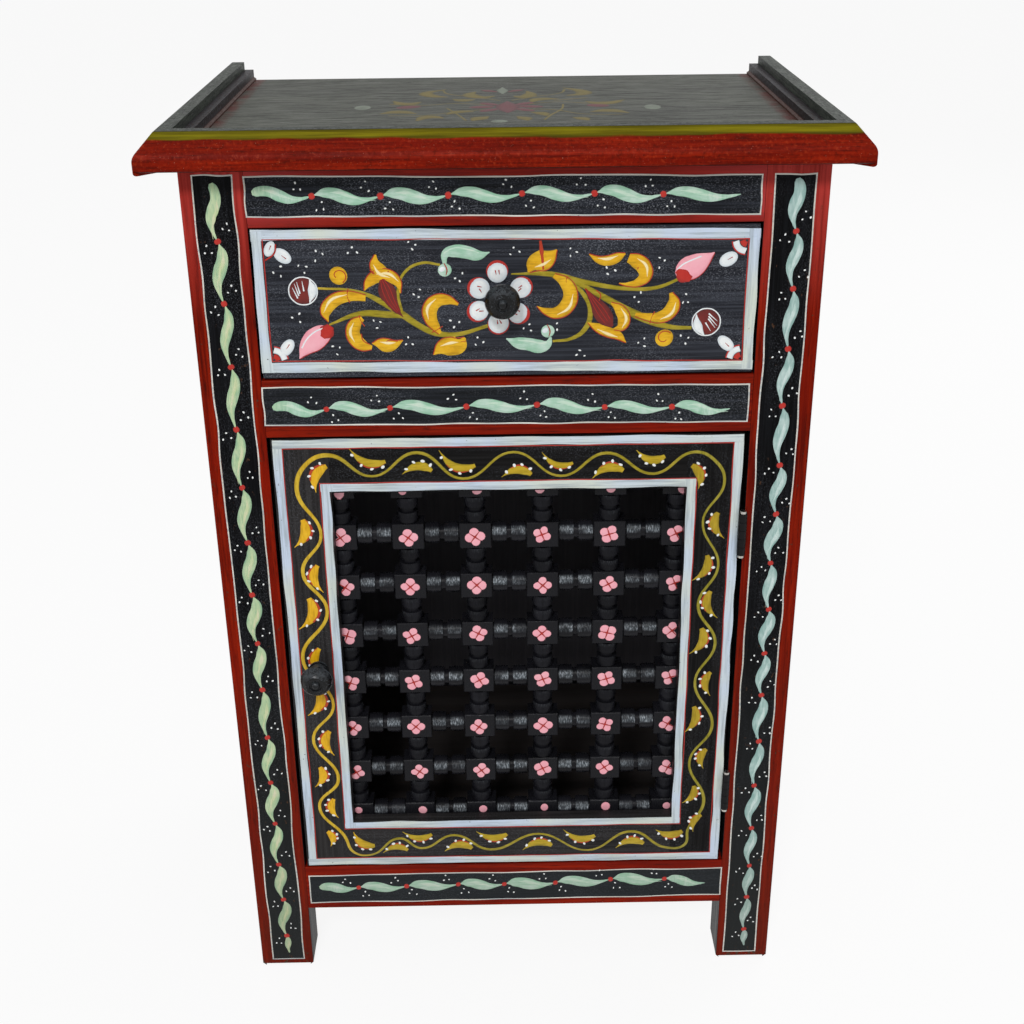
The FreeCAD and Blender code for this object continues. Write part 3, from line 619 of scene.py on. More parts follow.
door_gold = leaf_paint("door_leaf_gold", ("B88A04", "E2AC0C", "EEBE28"),
                       ("8A7806", "B89A0E", "C8AC2C"), ("806C06", "AA8E0E", "BEA22C"), (130, 105))
gold = leaf_paint("leaf_gold", ("AC8404", "DCA408", "ECBC24"), ("AC8404", "DCA408", "ECBC24"),
                  ("A88206", "D6A20A", "E4B824"))
gold_light = brush_paint("leaf_gold_light", "DCA414", "F8EAB8", "F0D890")
worn_ochre = brush_paint("worn_ochre", "524A28", "6C602E", "524E30", (0.45, 0.6), 0.08)
worn_pale = brush_paint("worn_pale", "5C6258", "747C70", "555A50", (0.45, 0.6), 0.08)
worn_pink = brush_paint("worn_pink", "4A2E30", "62363A", "5A4246", (0.45, 0.6), 0.08)
ember = brush_paint("ember_red", "8A1C04", "AC2C08", "C85014")
deep_red = brush_paint("deep_red", "480A06", "66100A", "842418")
pink = brush_paint("petal_pink", "E58E9C", "F4A9B6", "F8C0C8")
pearl = brush_paint("pearl_petal", "C8D2D8", "F0F3F2", "C4D0D8")


def unit(dx, dz):
    length = math.hypot(dx, dz)
    return dx / length, dz / length


def along_chord(start, end, rows):
    """Places given by their share of the way from start to end, their distance to the left of
    that way and their half width."""
    dx, dz = end[0] - start[0], end[1] - start[1]
    ux, uz = unit(dx, dz)
    return [(start[0] + dx * share - uz * off, start[1] + dz * share + ux * off, half)
            for share, off, half in rows]


def hand_line(chance, start, end, half, waver):
    """A ruled line as a hand draws it: nearly straight, of nearly even width."""
    knot_step = 20.0
    count = max(3, int(math.dist(start, end) / knot_step))
    rows = []
    for i in range(count + 1):
        off = chance.uniform(-waver, waver) if 0 < i < count else 0
        rows.append((i / count, off, half * chance.uniform(0.88, 1.1)))
    return along_chord(start, end, rows)


def box_line(work, chance, field, half, waver=0.35):
    """Four hand drawn lines round a box that may lean a little."""
    x0, x1, z0, z1, lean = field
    left, right, tuck = -lean / 2, lean / 2, half * 0.7
    for z in (z0, z1):
        work.stroke(hand_line(chance, (x0 - half, z + left), (x1 + half, z + right), half, waver))
    for x, lift in ((x0, left), (x1, right)):
        work.stroke(hand_line(chance, (x, z0 + lift + tuck), (x, z1 + lift - tuck), half, waver))


def frame_lines():
    chance = random.Random(3)
    lines = Brushwork("frame_lines", "case", "painted_frame", cream, front_face)
    for field in [left_leg_field, right_leg_field] + rail_fields:
        box_line(lines, chance, field, 0.5, 0.55)
    lines.done()


# Garlands of leaves with a berry between each two
left_leg_berries = [584, 544, 501.7, 458.3, 416.3, 375, 334.5, 295.4, 257, 216, 176, 138.5,
                    100, 66, 30]
right_leg_berries = [585.8, 548.8, 508.8, 469.6, 427, 390.8, 353.3, 316.7, 280.8, 245.8,
                     205.8, 166.3, 127, 91.3, 60.8, 28.8]
top_rail_places = [(-156, 613.5), (-119.2, 611.5), (-77, 611), (-35.4, 611), (10, 611.5),
                   (54.6, 611), (97, 610), (145.4, 609.5)]
middle_rail_places = [(-154.6, 472.5), (-119.2, 471.7), (-77.5, 472), (-27.5, 472.2),
                      (18.8, 472.8), (63.3, 470.5), (107.5, 470), (146.3, 468.3)]
bottom_rail_places = [(-150.4, 76.7), (-120, 76.5), (-83, 77), (-43, 78), (-7.5, 77.5),
                      (32, 78), (74.6, 80.5), (116.3, 80), (148.3, 75.5)]


def garland(chance, places, works, broad=1.0):
    """Leaves from each place to the next: broad, bent like an S and drawn out to a point.
    The first has a rounded head, and a short last one is only a drop."""
    leaves, lights, berries, whites = works
    full_length = 36.0
    for i, (start, end) in enumerate(zip(places, places[1:])):
        short = min(1.0, math.dist(start, end) / full_length)
        head, start_half = (0.7, 0.3) if i else (2.7, 1.4)
        fat = chance.uniform(0.85, 1.05) * broad * (0.4 + 0.6 * short)
        sway = chance.uniform(0.85, 1.2) * short ** 2 / broad
        rows = [(0.01, 0.3 * sway, start_half), (0.06, 0.8 * sway, head),
                (0.16, 1.7 * sway, 2.9 * fat if i else 3.6 * fat),
                (0.30, 1.6 * sway, 3.9 * fat), (0.47, -0.6 * sway, 4.3 * fat),
                (0.64, -2.4 * sway, 3.2 * fat), (0.80, -2.0 * sway, 1.6 * fat),
                (0.92, -0.9 * sway, 0.8), (0.985, -0.2, 0.3)]
        leaves.stroke(along_chord(start, end, rows))
        low = chance.uniform(0.14, 0.3)
        for side, width, begin in ((0.9 * fat, 1.5 * fat, low), (-1.1 * fat, 0.45, low + 0.16)):
            rows = [(begin, 1.5 * sway + side, 0.15), (begin + 0.16, 1.0 * sway + side, width),
                    (begin + 0.32, -1.3 * sway + side, width * 0.7),
                    (begin + 0.5, -1.9 * sway + side * 0.3, 0.1)]
            lights.stroke(along_chord(start, end, rows))
    for i, (x, z) in enumerate(places[1:-1]):
        berries.dab(x, z, chance.uniform(2.0, 2.4), chance.uniform(1.9, 2.3),
                    chance.uniform(0, 90), 12)
        ux, uz = unit(places[i + 2][0] - x, places[i + 2][1] - z)
        for back, side in ((9.0, 6.0), (-5.0, -6.6)):
            for turn in (90, 210, 330):
                angle = math.radians(turn + chance.uniform(-25, 25))
                reach = chance.uniform(2.2, 3.4)
                dx = -ux * back - uz * side + reach * math.cos(angle)
                dz = -uz * back + ux * side + reach * math.sin(angle)
                speck(whites, chance, x + dx, z + dz, (0.75, 1.05), (0.55, 0.8), 8)


def frame_garlands():
    chance = random.Random(11)
    works = started("case", "painted_frame", front_face, ("garland_leaves", mint, 0.0),
                    ("garland_lights", mint_light, 0.22), ("garland_berries", dot_red, 0.12),
                    ("garland_dots", dot_white, 0.0))
    for levels, line, first, last in (
            (left_leg_berries, -179.3, (-180.5, 620.5), (-178.0, 12.5)),
            (right_leg_berries, 180.8, (179.0, 619.0), (182.0, 12.0))):
        places = [(line + chance.uniform(-0.7, 0.7), z) for z in levels]
        garland(chance, [first, *places, last], works)
    garland(chance, top_rail_places, works)
    garland(chance, middle_rail_places, works)
    garland(chance, bottom_rail_places, works, 1.2)
    finished(*works)


# Borders of the drawer and the door: left, right, bottom, top, and the lean
border_half, red_line_half, red_line_off = 3.1, 0.4, 3.3
drawer_border_field = (-155.5, 155.3, 499.5, 586.2, -2.5)
drawer_red_field = (-151.8, 151.6, 503.4, 583.2, -3.5)
door_outer_field = (-153.6, 153.2, 101.8, 447.2, 0.0)
door_inner_field = (-123.8, 122.8, 135.6, 415.2, 0.0)


def borders():
    chance = random.Random(5)
    white, red = started("drawer", "painted_drawer", front_face,
                         ("drawer_border", drawer_white, 0.0), ("drawer_red_line", thin_red, 0.05))
    box_line(white, chance, drawer_border_field, border_half + 0.3)
    box_line(red, chance, drawer_red_field, red_line_half)
    finished(white, red)
    white, red = started("door", "painted_door", front_face,
                         ("door_borders", door_white, 0.0), ("door_red_lines", thin_red, 0.05))
    for field in (door_outer_field, door_inner_field):
        box_line(white, chance, field, border_half)
    for (x0, x1, z0, z1, lean), off in ((door_outer_field, -red_line_off),
                                        (door_inner_field, red_line_off)):
        box_line(red, chance, (x0 - off, x1 + off, z0 - off, z1 + off, lean), red_line_half)
    finished(white, red)


# The vine of the door, by the crests of its waves, from the top left corner down
vine_places = [(-120, 439), (-135, 433), (-142.8, 414), (-128.8, 380), (-143.3, 352),
               (-128.4, 321), (-148.3, 283), (-129, 243), (-145.5, 214), (-129.4, 178),
               (-145, 154), (-128, 126), (-121, 110), (-108, 108), (-86.7, 122.8),
               (-70, 113.3), (-45, 125), (-17.8, 111), (19, 125), (57, 108.8), (90, 125.8),
               (116, 110.2), (130, 112), (132.5, 127), (143.3, 152), (131, 189), (146.3, 220),
               (132, 258), (145, 290), (131.5, 321), (144, 352), (131.8, 386), (145, 416),
               (138, 431), (124, 437.6), (97, 422.2), (65, 437.8), (35, 421.6), (3, 439.4),
               (-31, 420.6), (-61, 440), (-92, 423.3)]

# Curved leaves in its bays: the drawn out tip, the round end, the bulging side and the width
vine_leaves = [((-106, 443.5), (-81, 435.5), -1, 3.3), ((-71.5, 424.5), (-51, 425), 1, 3.4),
               ((-46.5, 441.5), (-21, 432), -1, 3.3), ((-5, 421.5), (15.5, 421.3), 1, 3.5),
               ((22, 439), (44, 432.5), -1, 2.6), ((56, 419.5), (77.5, 423), 1, 3.8),
               ((85, 439.5), (105, 436.5), -1, 3.3), ((127.5, 410.5), (121, 428), -1, 3.8),
               ((-130, 412), (-120, 431), 1, 4.0), ((-147.5, 371), (-142, 393), -1, 4.2),
               ((-130, 335.5), (-131, 357.5), 1, 3.7), ((-149, 306.5), (-142.5, 332.5), -1, 4.4),
               ((-133, 266), (-134, 291.5), 1, 3.7), ((-148, 234.5), (-141, 257), -1, 4.4),
               ((-131, 199.5), (-131.5, 221.5), 1, 4.0), ((-147, 171.5), (-144, 190), -1, 3.7),
               ((-131.5, 143), (-132.5, 161), 1, 3.4), ((-139, 116.5), (-142, 130.5), -1, 3.4),
               ((-121, 129.5), (-104, 117.5), -1, 4.0), ((-99.5, 109.5), (-80, 110), 1, 3.2),
               ((-84, 129), (-61, 128), -1, 3.2), ((-52.5, 110), (-31, 110.5), 1, 3.9),
               ((-28, 128), (-4, 127), -1, 3.6), ((7, 110), (30, 112), 1, 3.8),
               ((38, 128.5), (63, 124.5), -1, 3.5), ((78, 110.5), (100, 112.5), 1, 3.8),
               ((108, 127), (129, 127), -1, 3.9), ((136.5, 124.5), (143.5, 140), 1, 3.4),
               ((127, 151.5), (134, 168), -1, 3.4), ((141.5, 182.5), (144.5, 200), 1, 3.6),
               ((126, 214.5), (130.5, 238), -1, 3.7), ((143.5, 246), (144.5, 266.5), 1, 3.4),
               ((127, 281.5), (133, 303.5), -1, 3.9), ((145.5, 310.5), (141.5, 333), 1, 3.6),
               ((126, 340.5), (134.5, 361.5), -1, 3.6), ((147, 373), (143.5, 393.5), 1, 3.7)]


def door_vine():
    """The vine with its leaves, fuller on the left side. The top leaves are often left plain."""
    left_side, top_side = -110, 425
    chance = random.Random(23)
    vine, leaves, shades, dots = works = started(
        "door", "painted_door", front_face, ("door_vine", vine_ochre, 0.0),
        ("door_leaves", door_gold, 0.05), ("door_leaf_edges", ember, 0.02),
        ("door_dots", dot_white, 0.2))
    vine.curve.resolution_u = 12
    vine.stroke([(x, z, chance.uniform(0.85, 1.3) * (1.25 if x < left_side else 1.0))
                 for x, z in vine_places], closed=True)
    for tip, end, side, fat in vine_leaves:
        length = math.dist(tip, end)
        bow = [(0.0, 0.0, 0.06), (0.12, 0.09, 0.2), (0.30, 0.21, 0.62),
               (0.55, 0.275, 0.9), (0.80, 0.21, 0.82), (0.97, 0.08, 0.4)]
        bend = chance.uniform(0.88, 1.05)
        rows = [(share, side * off * length * bend, half * fat) for share, off, half in bow]
        leaves.stroke(along_chord(tip, end, rows))
        if end[1] < top_side or chance.random() < 0.4:
            strong = 1.0 if end[0] < left_side else 0.6
            rows = [(share, off + side * (half * 0.9 + 0.3 * strong),
                     0.2 + half * 0.24 * strong) for share, off, half in rows[2:]]
            shades.stroke(along_chord(tip, end, rows))
        for share, off, half in ((0.14, 0.11, 0.4), (0.42, 0.26, 0.95), (0.68, 0.27, 1.05),
                                 (0.93, 0.14, 0.9)):
            share += chance.uniform(-0.03, 0.03)
            place = along_chord(tip, end, [(share, side * (off * length * bend + half * fat), 0)])
            speck(dots, chance, *place[0][:2], (1.2, 1.55), (0.85, 1.1), 10)
    finished(*works)


# Places on the drawer: across, up and half width along each stroke, in millimetres
drawer_vines = [
    [(-119.6, 553.3, 0.8), (-95, 551, 1.1), (-78, 543, 2.1), (-66, 535, 2.4), (-57, 528.3, 2.1),
     (-46, 522.8, 2.1), (-33, 521.7, 1.6), (-12.4, 527.2, 1.2)],
    [(-66, 534.4, 1.6), (-77, 535.6, 2.4), (-94, 536.2, 1.9), (-113.5, 529.3, 0.7)],
    [(-67.2, 536, 1.5), (-68.9, 550, 1.1), (-64.5, 562.5, 1.0), (-53, 568.8, 1.0),
     (-41.7, 567.4, 0.8)],
    [(2.8, 560.9, 0.5), (27.8, 560.4, 1.9), (47.4, 555.4, 1.8), (75.7, 550.4, 1.4),
     (95, 550.9, 1.3), (109.3, 556.5, 1.0)],
    [(38.5, 557, 1.1), (48.6, 547, 1.5), (53, 536, 1.7), (49.6, 524, 1.7), (40.9, 517.8, 1.2),
     (29, 516.3, 0.9)],
    [(38, 558.4, 1.4), (60.4, 545.6, 2.1), (76, 536.5, 2.6), (88, 530.6, 2.9), (103, 525, 1.8),
     (118, 523.9, 1.2)]]

# Gold leaves of the drawer, each with the side on which its edge is drawn in red
drawer_leaves = [
    (1, [(-113.9, 531.1, 0.2), (-115.4, 537.2, 3.4), (-110.4, 544.6, 4.3), (-101, 547.9, 3.6),
         (-89.5, 546.6, 2.2)]),
    (-1, [(-82, 574.5, 0.6), (-82.4, 568.5, 3.6), (-79, 563.5, 4.4), (-73, 560.5, 2.6)]),
    (1, [(-90, 551.5, 0.3), (-87, 556.5, 3.0), (-81.5, 560.6, 4.2), (-74.5, 560.6, 4.4),
         (-69, 556.6, 2.8), (-67.3, 549.5, 0.4)]),
    (-1, [(-31, 541.6, 0.9), (-37.6, 544.6, 3.2), (-44.4, 544.2, 4.3), (-49, 539, 4.8),
          (-48.8, 532.4, 4.2), (-45.6, 526.6, 2.8), (-43, 522.6, 1.2)]),
    (-1, [(-92.2, 533.4, 1.8), (-96.8, 529.8, 4.0), (-98.9, 524.1, 4.5), (-96.8, 518.5, 4.5),
          (-92.2, 514.8, 3.6), (-87.1, 513.6, 1.4)]),
    (1, [(-87, 516.4, 0.3), (-82, 516.2, 3.6), (-76.5, 515, 4.6), (-71.5, 516, 2.6),
         (-67, 518.3, 0.3)]),
    (1, [(-47.8, 508.2, 0.3), (-42.5, 512.6, 4.8), (-36, 514, 6.3), (-30.5, 515, 5.2),
         (-27.3, 519.5, 0.8)]),
    (-1, [(13.7, 562, 0.8), (16.6, 566.5, 5.0), (21.8, 569, 6.8), (26.6, 571.4, 5.2),
          (31.5, 576.2, 0.4)]),
    (1, [(51.7, 573, 0.3), (57, 569.6, 2.2), (63.7, 568.7, 3.3), (70.2, 570.9, 2.9),
         (74.5, 573, 0.5)]),
    (1, [(76.5, 570.2, 3.0), (81, 568.6, 4.6), (86.2, 564.4, 4.9), (87.2, 558.4, 4.2),
         (83, 554.4, 2.8), (76.5, 553.2, 1.4), (70.8, 554, 0.3)]),
    (1, [(29.7, 559.6, 1.6), (36.8, 555, 3.8), (40.3, 547.4, 4.6), (38, 539.6, 4.8),
         (31.4, 535.2, 3.9), (24.6, 536.4, 2.3), (18.9, 539.8, 0.2)]),
    (1, [(66, 541.2, 0.6), (71.5, 537, 3.4), (74.6, 530.6, 4.0), (72.6, 525.2, 3.0),
         (68, 523.8, 0.6)]),
    (-1, [(51.4, 528.6, 0.3), (58, 525, 3.0), (65.4, 521.6, 3.4), (71.3, 519.4, 2.8),
          (76.2, 514.8, 0.3)]),
    (1, [(103.9, 547.4, 1.2), (106, 541.2, 3.9), (103.6, 534.8, 4.4), (97.3, 531.2, 3.8),
         (89.5, 531.6, 2.6), (81.7, 533.6, 1.6)])]

# Short red lines that cross the leaves and stems
drawer_accents = [
    [(-100.2, 552.9), (-101.1, 548.4), (-99.7, 543.9)],
    [(-94.3, 535.2), (-93.1, 531.2), (-91, 528)],
    [(-93.4, 523.1), (-92.6, 518.6), (-88.3, 515.8)],
    [(-48.4, 523.3), (-45.2, 524.9), (-41.4, 527.3)],
    [(-33.4, 513.6), (-30.4, 516.5), (-26.6, 517.3)],
    [(-86, 564.6), (-80.6, 561.5), (-73.8, 563.8)],
    [(38.3, 558.8), (37.5, 555.5), (40.6, 552.9)], [(94, 535.2), (92.1, 531.2), (91.2, 527.3)],
    [(82.4, 563), (83.6, 567.2)], [(56.6, 549.8), (59.4, 546.4), (58.4, 542.8)],
    [(-80.4, 516.2), (-75.6, 518.4), (-70.4, 517.6)]]

# Two tulips that lie on their sides, from the point to the cap
drawer_tulips = [
    [(-134.1, 506.8, 0.3), (-130.4, 512.6, 4.0), (-125.6, 517.6, 6.8), (-120.6, 521.8, 6.9),
     (-115.8, 525, 4.9), (-112.8, 526.8, 1.5)],
    [(130.4, 573, 0.3), (123.8, 568.4, 5.0), (118, 564.6, 7.4), (112.6, 562, 7.2),
     (108.4, 560, 4.4), (106.6, 559.2, 1.5)]]
drawer_tulip_caps = [[(-118.4, 521.0, 2.2), (-115.6, 524.6, 5.0), (-112.8, 528.6, 2.4)],
                     [(107.2, 561.8, 2.0), (111.6, 558.6, 5.0), (116.2, 556, 2.0)]]

# Dark red hearts of the two opened buds
drawer_hearts = [
    [(-78.6, 558.6, 2.0), (-76.4, 552.5, 5.2), (-73.4, 544.5, 4.6), (-69.2, 537.4, 2.0),
     (-66.2, 533.8, 0.3)],
    [(49.6, 551, 0.5), (54.6, 543.4, 3.0), (59.6, 536, 5.4), (64, 529.4, 4.6), (67, 525.6, 1.2)]]

drawer_mint = [
    [(-38.9, 568, 1.2), (-38.3, 574, 2.6), (-33, 576, 3.9), (-25, 575.2, 4.1),
     (-17.4, 573.2, 3.2), (-10.6, 575, 0.3)],
    [(-0.8, 518.4, 0.4), (6.1, 515.6, 3.6), (13.7, 514.4, 4.2), (21.3, 512.9, 4.4),
     (26, 514.6, 2.6), (27.8, 519, 0.8)]]

flower_petals = [(-5.9, 562.0), (8.7, 551.9), (6.8, 535.4), (-5.6, 529.0), (-18.0, 537.2),
                 (-17.3, 551.8)]
flower_middle = (-4.5, 545.6)

# Corner petals: across, up, half length, half width, turn
corner_petals = [(-147.6, 579, 5.2, 3.3, 64), (-140, 574.4, 6.2, 4.2, -38),
                 (-141.6, 514.2, 6.6, 3.9, 54), (139.4, 568.6, 6.2, 4.4, 30),
                 (140.6, 513.2, 6.6, 3.9, -44)]
corner_bow = [(-143.6, 582), (-144.8, 576.4), (-150.8, 571.8)]

# Quarter fans in three corners: across, up and the turn of their first edge
corner_fans = [(-150.9, 505.6, 4), (150.6, 580.8, 184), (150.6, 502.4, 94)]

drawer_dots = [(-118, 574), (-96, 576.5), (-59, 580), (-143, 564.5), (-133.5, 534),
               (-110.5, 512.5), (-83, 529), (-63, 517.5), (-56, 549.5), (-34, 530),
               (-18, 517), (5.5, 575), (41.5, 574), (65, 562), (96.5, 567), (83.5, 544.5),
               (113, 543), (47, 507.5), (86.5, 515), (114, 516.5), (12.5, 526), (-128, 566),
               (-30, 559), (30, 526)]


def beside(rows, side, share=1.0, half=0.3):
    """A line that keeps to one side of a stroke, at a share of its half width."""
    line = []
    for i, (x, z, wide) in enumerate(rows):
        ahead, behind = rows[min(i + 1, len(rows) - 1)], rows[max(i - 1, 0)]
        ux, uz = unit(ahead[0] - behind[0], ahead[1] - behind[1])
        line.append((x - uz * side * wide * share, z + ux * side * wide * share, half))
    return line


def three_dots(work, chance, x, z):
    start = chance.uniform(0, 120)
    for turn in (0, 120, 240):
        angle = math.radians(start + turn + chance.uniform(-25, 25))
        place = around(x, z, 3.0 * chance.uniform(0.75, 1.2), angle)
        speck(work, chance, *place, (0.8, 1.15), (0.55, 0.8), 8)


def drawer_garden():
    """Two branches with leaves and buds, from the flower round the knob to either end."""
    chance = random.Random(41)
    works = started("drawer", "painted_drawer", front_face, *[
        ("drawer_" + name, paint, lift) for name, paint, lift in (
            ("vines", vine_ochre, 0.0), ("leaves", gold, 0.1), ("leaf_lights", gold_light, 0.36),
            ("leaf_edges", ember, 0.24), ("hearts", deep_red, 0.16), ("tulips", pink, 0.05),
            ("tulip_caps", dot_red, 0.2), ("white_petals", pearl, 0.2),
            ("petal_backs", dot_red, 0.0), ("mint_sprigs", mint, 0.05),
            ("mint_lights", mint_light, 0.26), ("dots", dot_white, 0.0),
            ("fine_red_lines", thin_red, 0.42), ("fine_white_lines", pearl, 0.42))])
    (vines, leaves, lights, edges, hearts, tulips, caps, pearls, backs, sprigs, sprig_lights,
     dots, fine_reds, fine_whites) = works
    for vine in drawer_vines:
        vines.stroke(vine)
    for side, rows in drawer_leaves:
        leaves.stroke(rows)
        edges.stroke(beside(rows, side, 0.98, 0.32))
        fat = max(range(1, len(rows) - 1), key=lambda i: rows[i][2])
        first, middle, last = beside(rows, side, 0.35)[fat - 1:fat + 2]
        lights.stroke([(*first[:2], 0.15), (*middle[:2], 1.1), (*last[:2], 0.15)])
    for x, z, start in ((-105.9, 561.3, -60), (100.7, 517.4, 40)):
        leaves.dab(x, z, 6.0, 5.6, start)
        turns = [math.radians(start + 40 * i) for i in range(8)]
        edges.stroke([(x + (5.4 - 0.5 * i) * math.cos(t), z + (5.2 - 0.5 * i) * math.sin(t), 0.32)
                      for i, t in enumerate(turns)])
    for accent in drawer_accents:
        edges.stroke([(x, z, 0.34) for x, z in accent])
    for rows in drawer_hearts:
        hearts.stroke(rows)
        for share in (-0.45, 0.0, 0.45):
            fine_reds.stroke(beside(rows[:-1], 1, share, 0.2))
    for side, rows, cap in zip((-1, 1), drawer_tulips, drawer_tulip_caps):
        tulips.stroke(rows)
        caps.stroke(cap)
        caps.stroke(beside(rows, side, 1.0, 0.22))
        pearls.stroke([(x, z, 0.6) for x, z, half in beside(rows, -side, 0.55)[1:-1]])
    for x, z, turn in ((-128.7, 551.7, 0), (127.3, 527.7, 205)):
        hearts.dab(x, z, 8.9, 8.7, 0, 24)
        pearls.ring(x, z, 9.0, 0.42)
        swing = Matrix.Rotation(math.radians(turn), 2)
        for rows in ([(4.6, 7.4, 0.3), (6.0, 0.4, 2.9), (3.8, -7.6, 0.3)],
                     [(-3.6, 6.0, 0.15), (-2.0, -1.6, 0.5)], [(-0.2, 6.6, 0.15), (0.6, 0, 0.5)],
                     [(-6.6, 2.4, 0.15), (-3.6, -4.6, 0.5)], [(-5.2, 5.0, 0.15), (-2.8, -3, 0.5)]):
            turned = [(*(swing @ Vector((a, b))), half) for a, b, half in rows]
            fine_whites.stroke([(x + a, z + b, half) for a, b, half in turned])
    for x, z, half_long, half_wide, turn in corner_petals:
        pearls.dab(x, z, half_long, half_wide, turn)
        ux, uz = math.cos(math.radians(turn)), math.sin(math.radians(turn))
        fine_reds.stroke([(x - ux * half_long * 0.1, z - uz * half_long * 0.1, 0.15),
                          (x + ux * half_long * 0.45, z + uz * half_long * 0.45, 0.3)])
        backs.dab(x, z, half_long + 0.7, half_wide + 0.7, turn)
    fine_reds.stroke([(x, z, 0.5) for x, z in corner_bow])
    for x, z, turn in corner_fans:
        for work, radius, half in ((backs, 3.0, 1.9), (pearls, 7.2, 2.0), (backs, 9.4, 0.7)):
            work.stroke([(*around(x, z, radius, math.radians(turn + step)), half)
                         for step in (2, 28, 54, 80)])
    for x, z in flower_petals:
        ux, uz = unit(x - flower_middle[0], z - flower_middle[1])
        backs.dab(x + ux * 1.0, z + uz * 1.0, 8.2, 8.0, chance.uniform(0, 90), 22)
        pearls.dab(x, z, chance.uniform(6.5, 6.9), chance.uniform(6.2, 6.7),
                   chance.uniform(0, 90), 22)
        for slip in (-1.1, 1.1):
            slip *= chance.uniform(0.6, 1.4)
            out = chance.uniform(-1.4, 0.8)
            along_x, along_z = x + ux * out - uz * slip, z + uz * out + ux * slip
            turn = Matrix.Rotation(chance.uniform(-0.7, 0.7), 2) @ Vector((ux, uz))
            fine_reds.stroke([(along_x - turn.x * 1.4, along_z - turn.y * 1.4, 0.2),
                              (along_x + turn.x * 1.4, along_z + turn.y * 1.4, 0.42)])
    for rows in drawer_mint:
        sprigs.stroke(rows)
        sprig_lights.stroke([(x, z, 0.5) for x, z, half in beside(rows, 1, 0.5)[1:-1]])
    for x, z in ((-38.9, 564), (25.9, 523)):
        sprigs.dab(x, z, 4.7, 4.5, 20)
        pearls.dab(x - 1.6, z + 0.6, 2.4, 1.8, 30, 12)
        fine_reds.stroke([(x + 0.6, z - 3.4, 0.2), (x + 1.4, z, 0.4), (x - 0.4, z + 4.6, 0.25)])
    for x, z in drawer_dots:
        three_dots(dots, chance, x, z)
    edges.stroke([(21.2, 582, 0.8), (22, 575, 1.3), (22.8, 567, 1.1), (23, 563.5, 0.5)])
    finished(*works)


# Middles of the square blocks of the lattice, across and from the top bar down
block_apart, bar_apart = 46.5, 39.0
lattice_columns = [-116.75 + block_apart * i for i in range(6)]
lattice_rows = [411.75 - bar_apart * i for i in range(8)]


def lattice_flowers():
    """A small flower on each block. Those at the rim of the lattice are cut off by the frame."""
    chance = random.Random(17)
    petals, hearts = started("door", "lattice_paint", lattice_face, ("lattice_petals", pink, 0.0),
                             ("lattice_flower_hearts", thin_red, 0.26))
    for z in lattice_rows:
        for x in lattice_columns:
            turn = chance.uniform(-34, 34)
            plump = chance.uniform(0.94, 1.2)
            px, pz = x + chance.uniform(-0.8, 0.8), z + chance.uniform(-0.7, 0.7)
            ways = [0, 90, 180, 270]
            if x == lattice_columns[0]:
                ways.remove(180)
            if x == lattice_columns[-1]:
                ways.remove(0)
            if z == lattice_rows[0]:
                ways = [270]
            if z == lattice_rows[-1]:
                ways = [90]
            reach = 3.5 if z < lattice_rows[0] else 5.0
            for way in ways:
                petals.dab(*around(px, pz, reach, math.radians(way + turn)),
                           chance.uniform(3.3, 3.9) * plump, chance.uniform(3.1, 3.7) * plump,
                           way + turn + chance.uniform(-15, 15), 12)
            if len(ways) > 1:
                for way in (45, 135):
                    start, end = [around(px, pz, far, math.radians(way + turn))
                                  for far in (-4.8, 4.8)]
                    hearts.stroke([(*start, 0.2), (px, pz, 0.55), (*end, 0.2)])
    finished(petals, hearts)


# The worn flowers of the top board, by places across and back from the front edge
board_curls = [
    [(-20, 208), (-24, 195), (-15, 183), (-6, 188)], [(18, 208), (20, 195), (14, 183), (8, 187)],
    [(-42, 220), (-56, 205), (-50, 190), (-40, 186)], [(45, 222), (58, 206), (58, 193), (46, 187)],
    [(-36, 176), (-28, 171), (-20, 174)], [(20, 160), (26, 172), (40, 172)],
    [(-78, 170), (-68, 158), (-58, 166)], [(58, 160), (70, 152), (86, 165)],
    [(-84, 119), (-72, 126), (-59, 118)], [(59, 118), (72, 122), (85, 112)],
    [(-58, 91), (-50, 105), (-40, 100)], [(-39, 114), (-30, 124), (-20, 124)],
    [(-21, 89), (-16, 98), (-10, 104)], [(9, 103), (14, 96), (16, 87)],
    [(19, 119), (26, 114), (29, 104)], [(46, 97), (52, 93), (56, 85)]]
board_stems = [
    [(-2, 168), (-22, 186), (-40, 200), (-44, 216)], [(6, 168), (24, 184), (42, 198), (46, 214)],
    [(-8, 150), (-34, 158), (-56, 152), (-80, 158)], [(12, 150), (40, 160), (62, 152), (84, 156)],
    [(-8, 132), (-30, 126), (-52, 112), (-78, 112)], [(12, 132), (34, 128), (54, 110), (80, 106)],
    [(-39, 138), (-33, 120), (-25, 90)], [(42, 150), (40, 130), (32, 108), (27, 90)],
    [(36, 166), (60, 176)]]


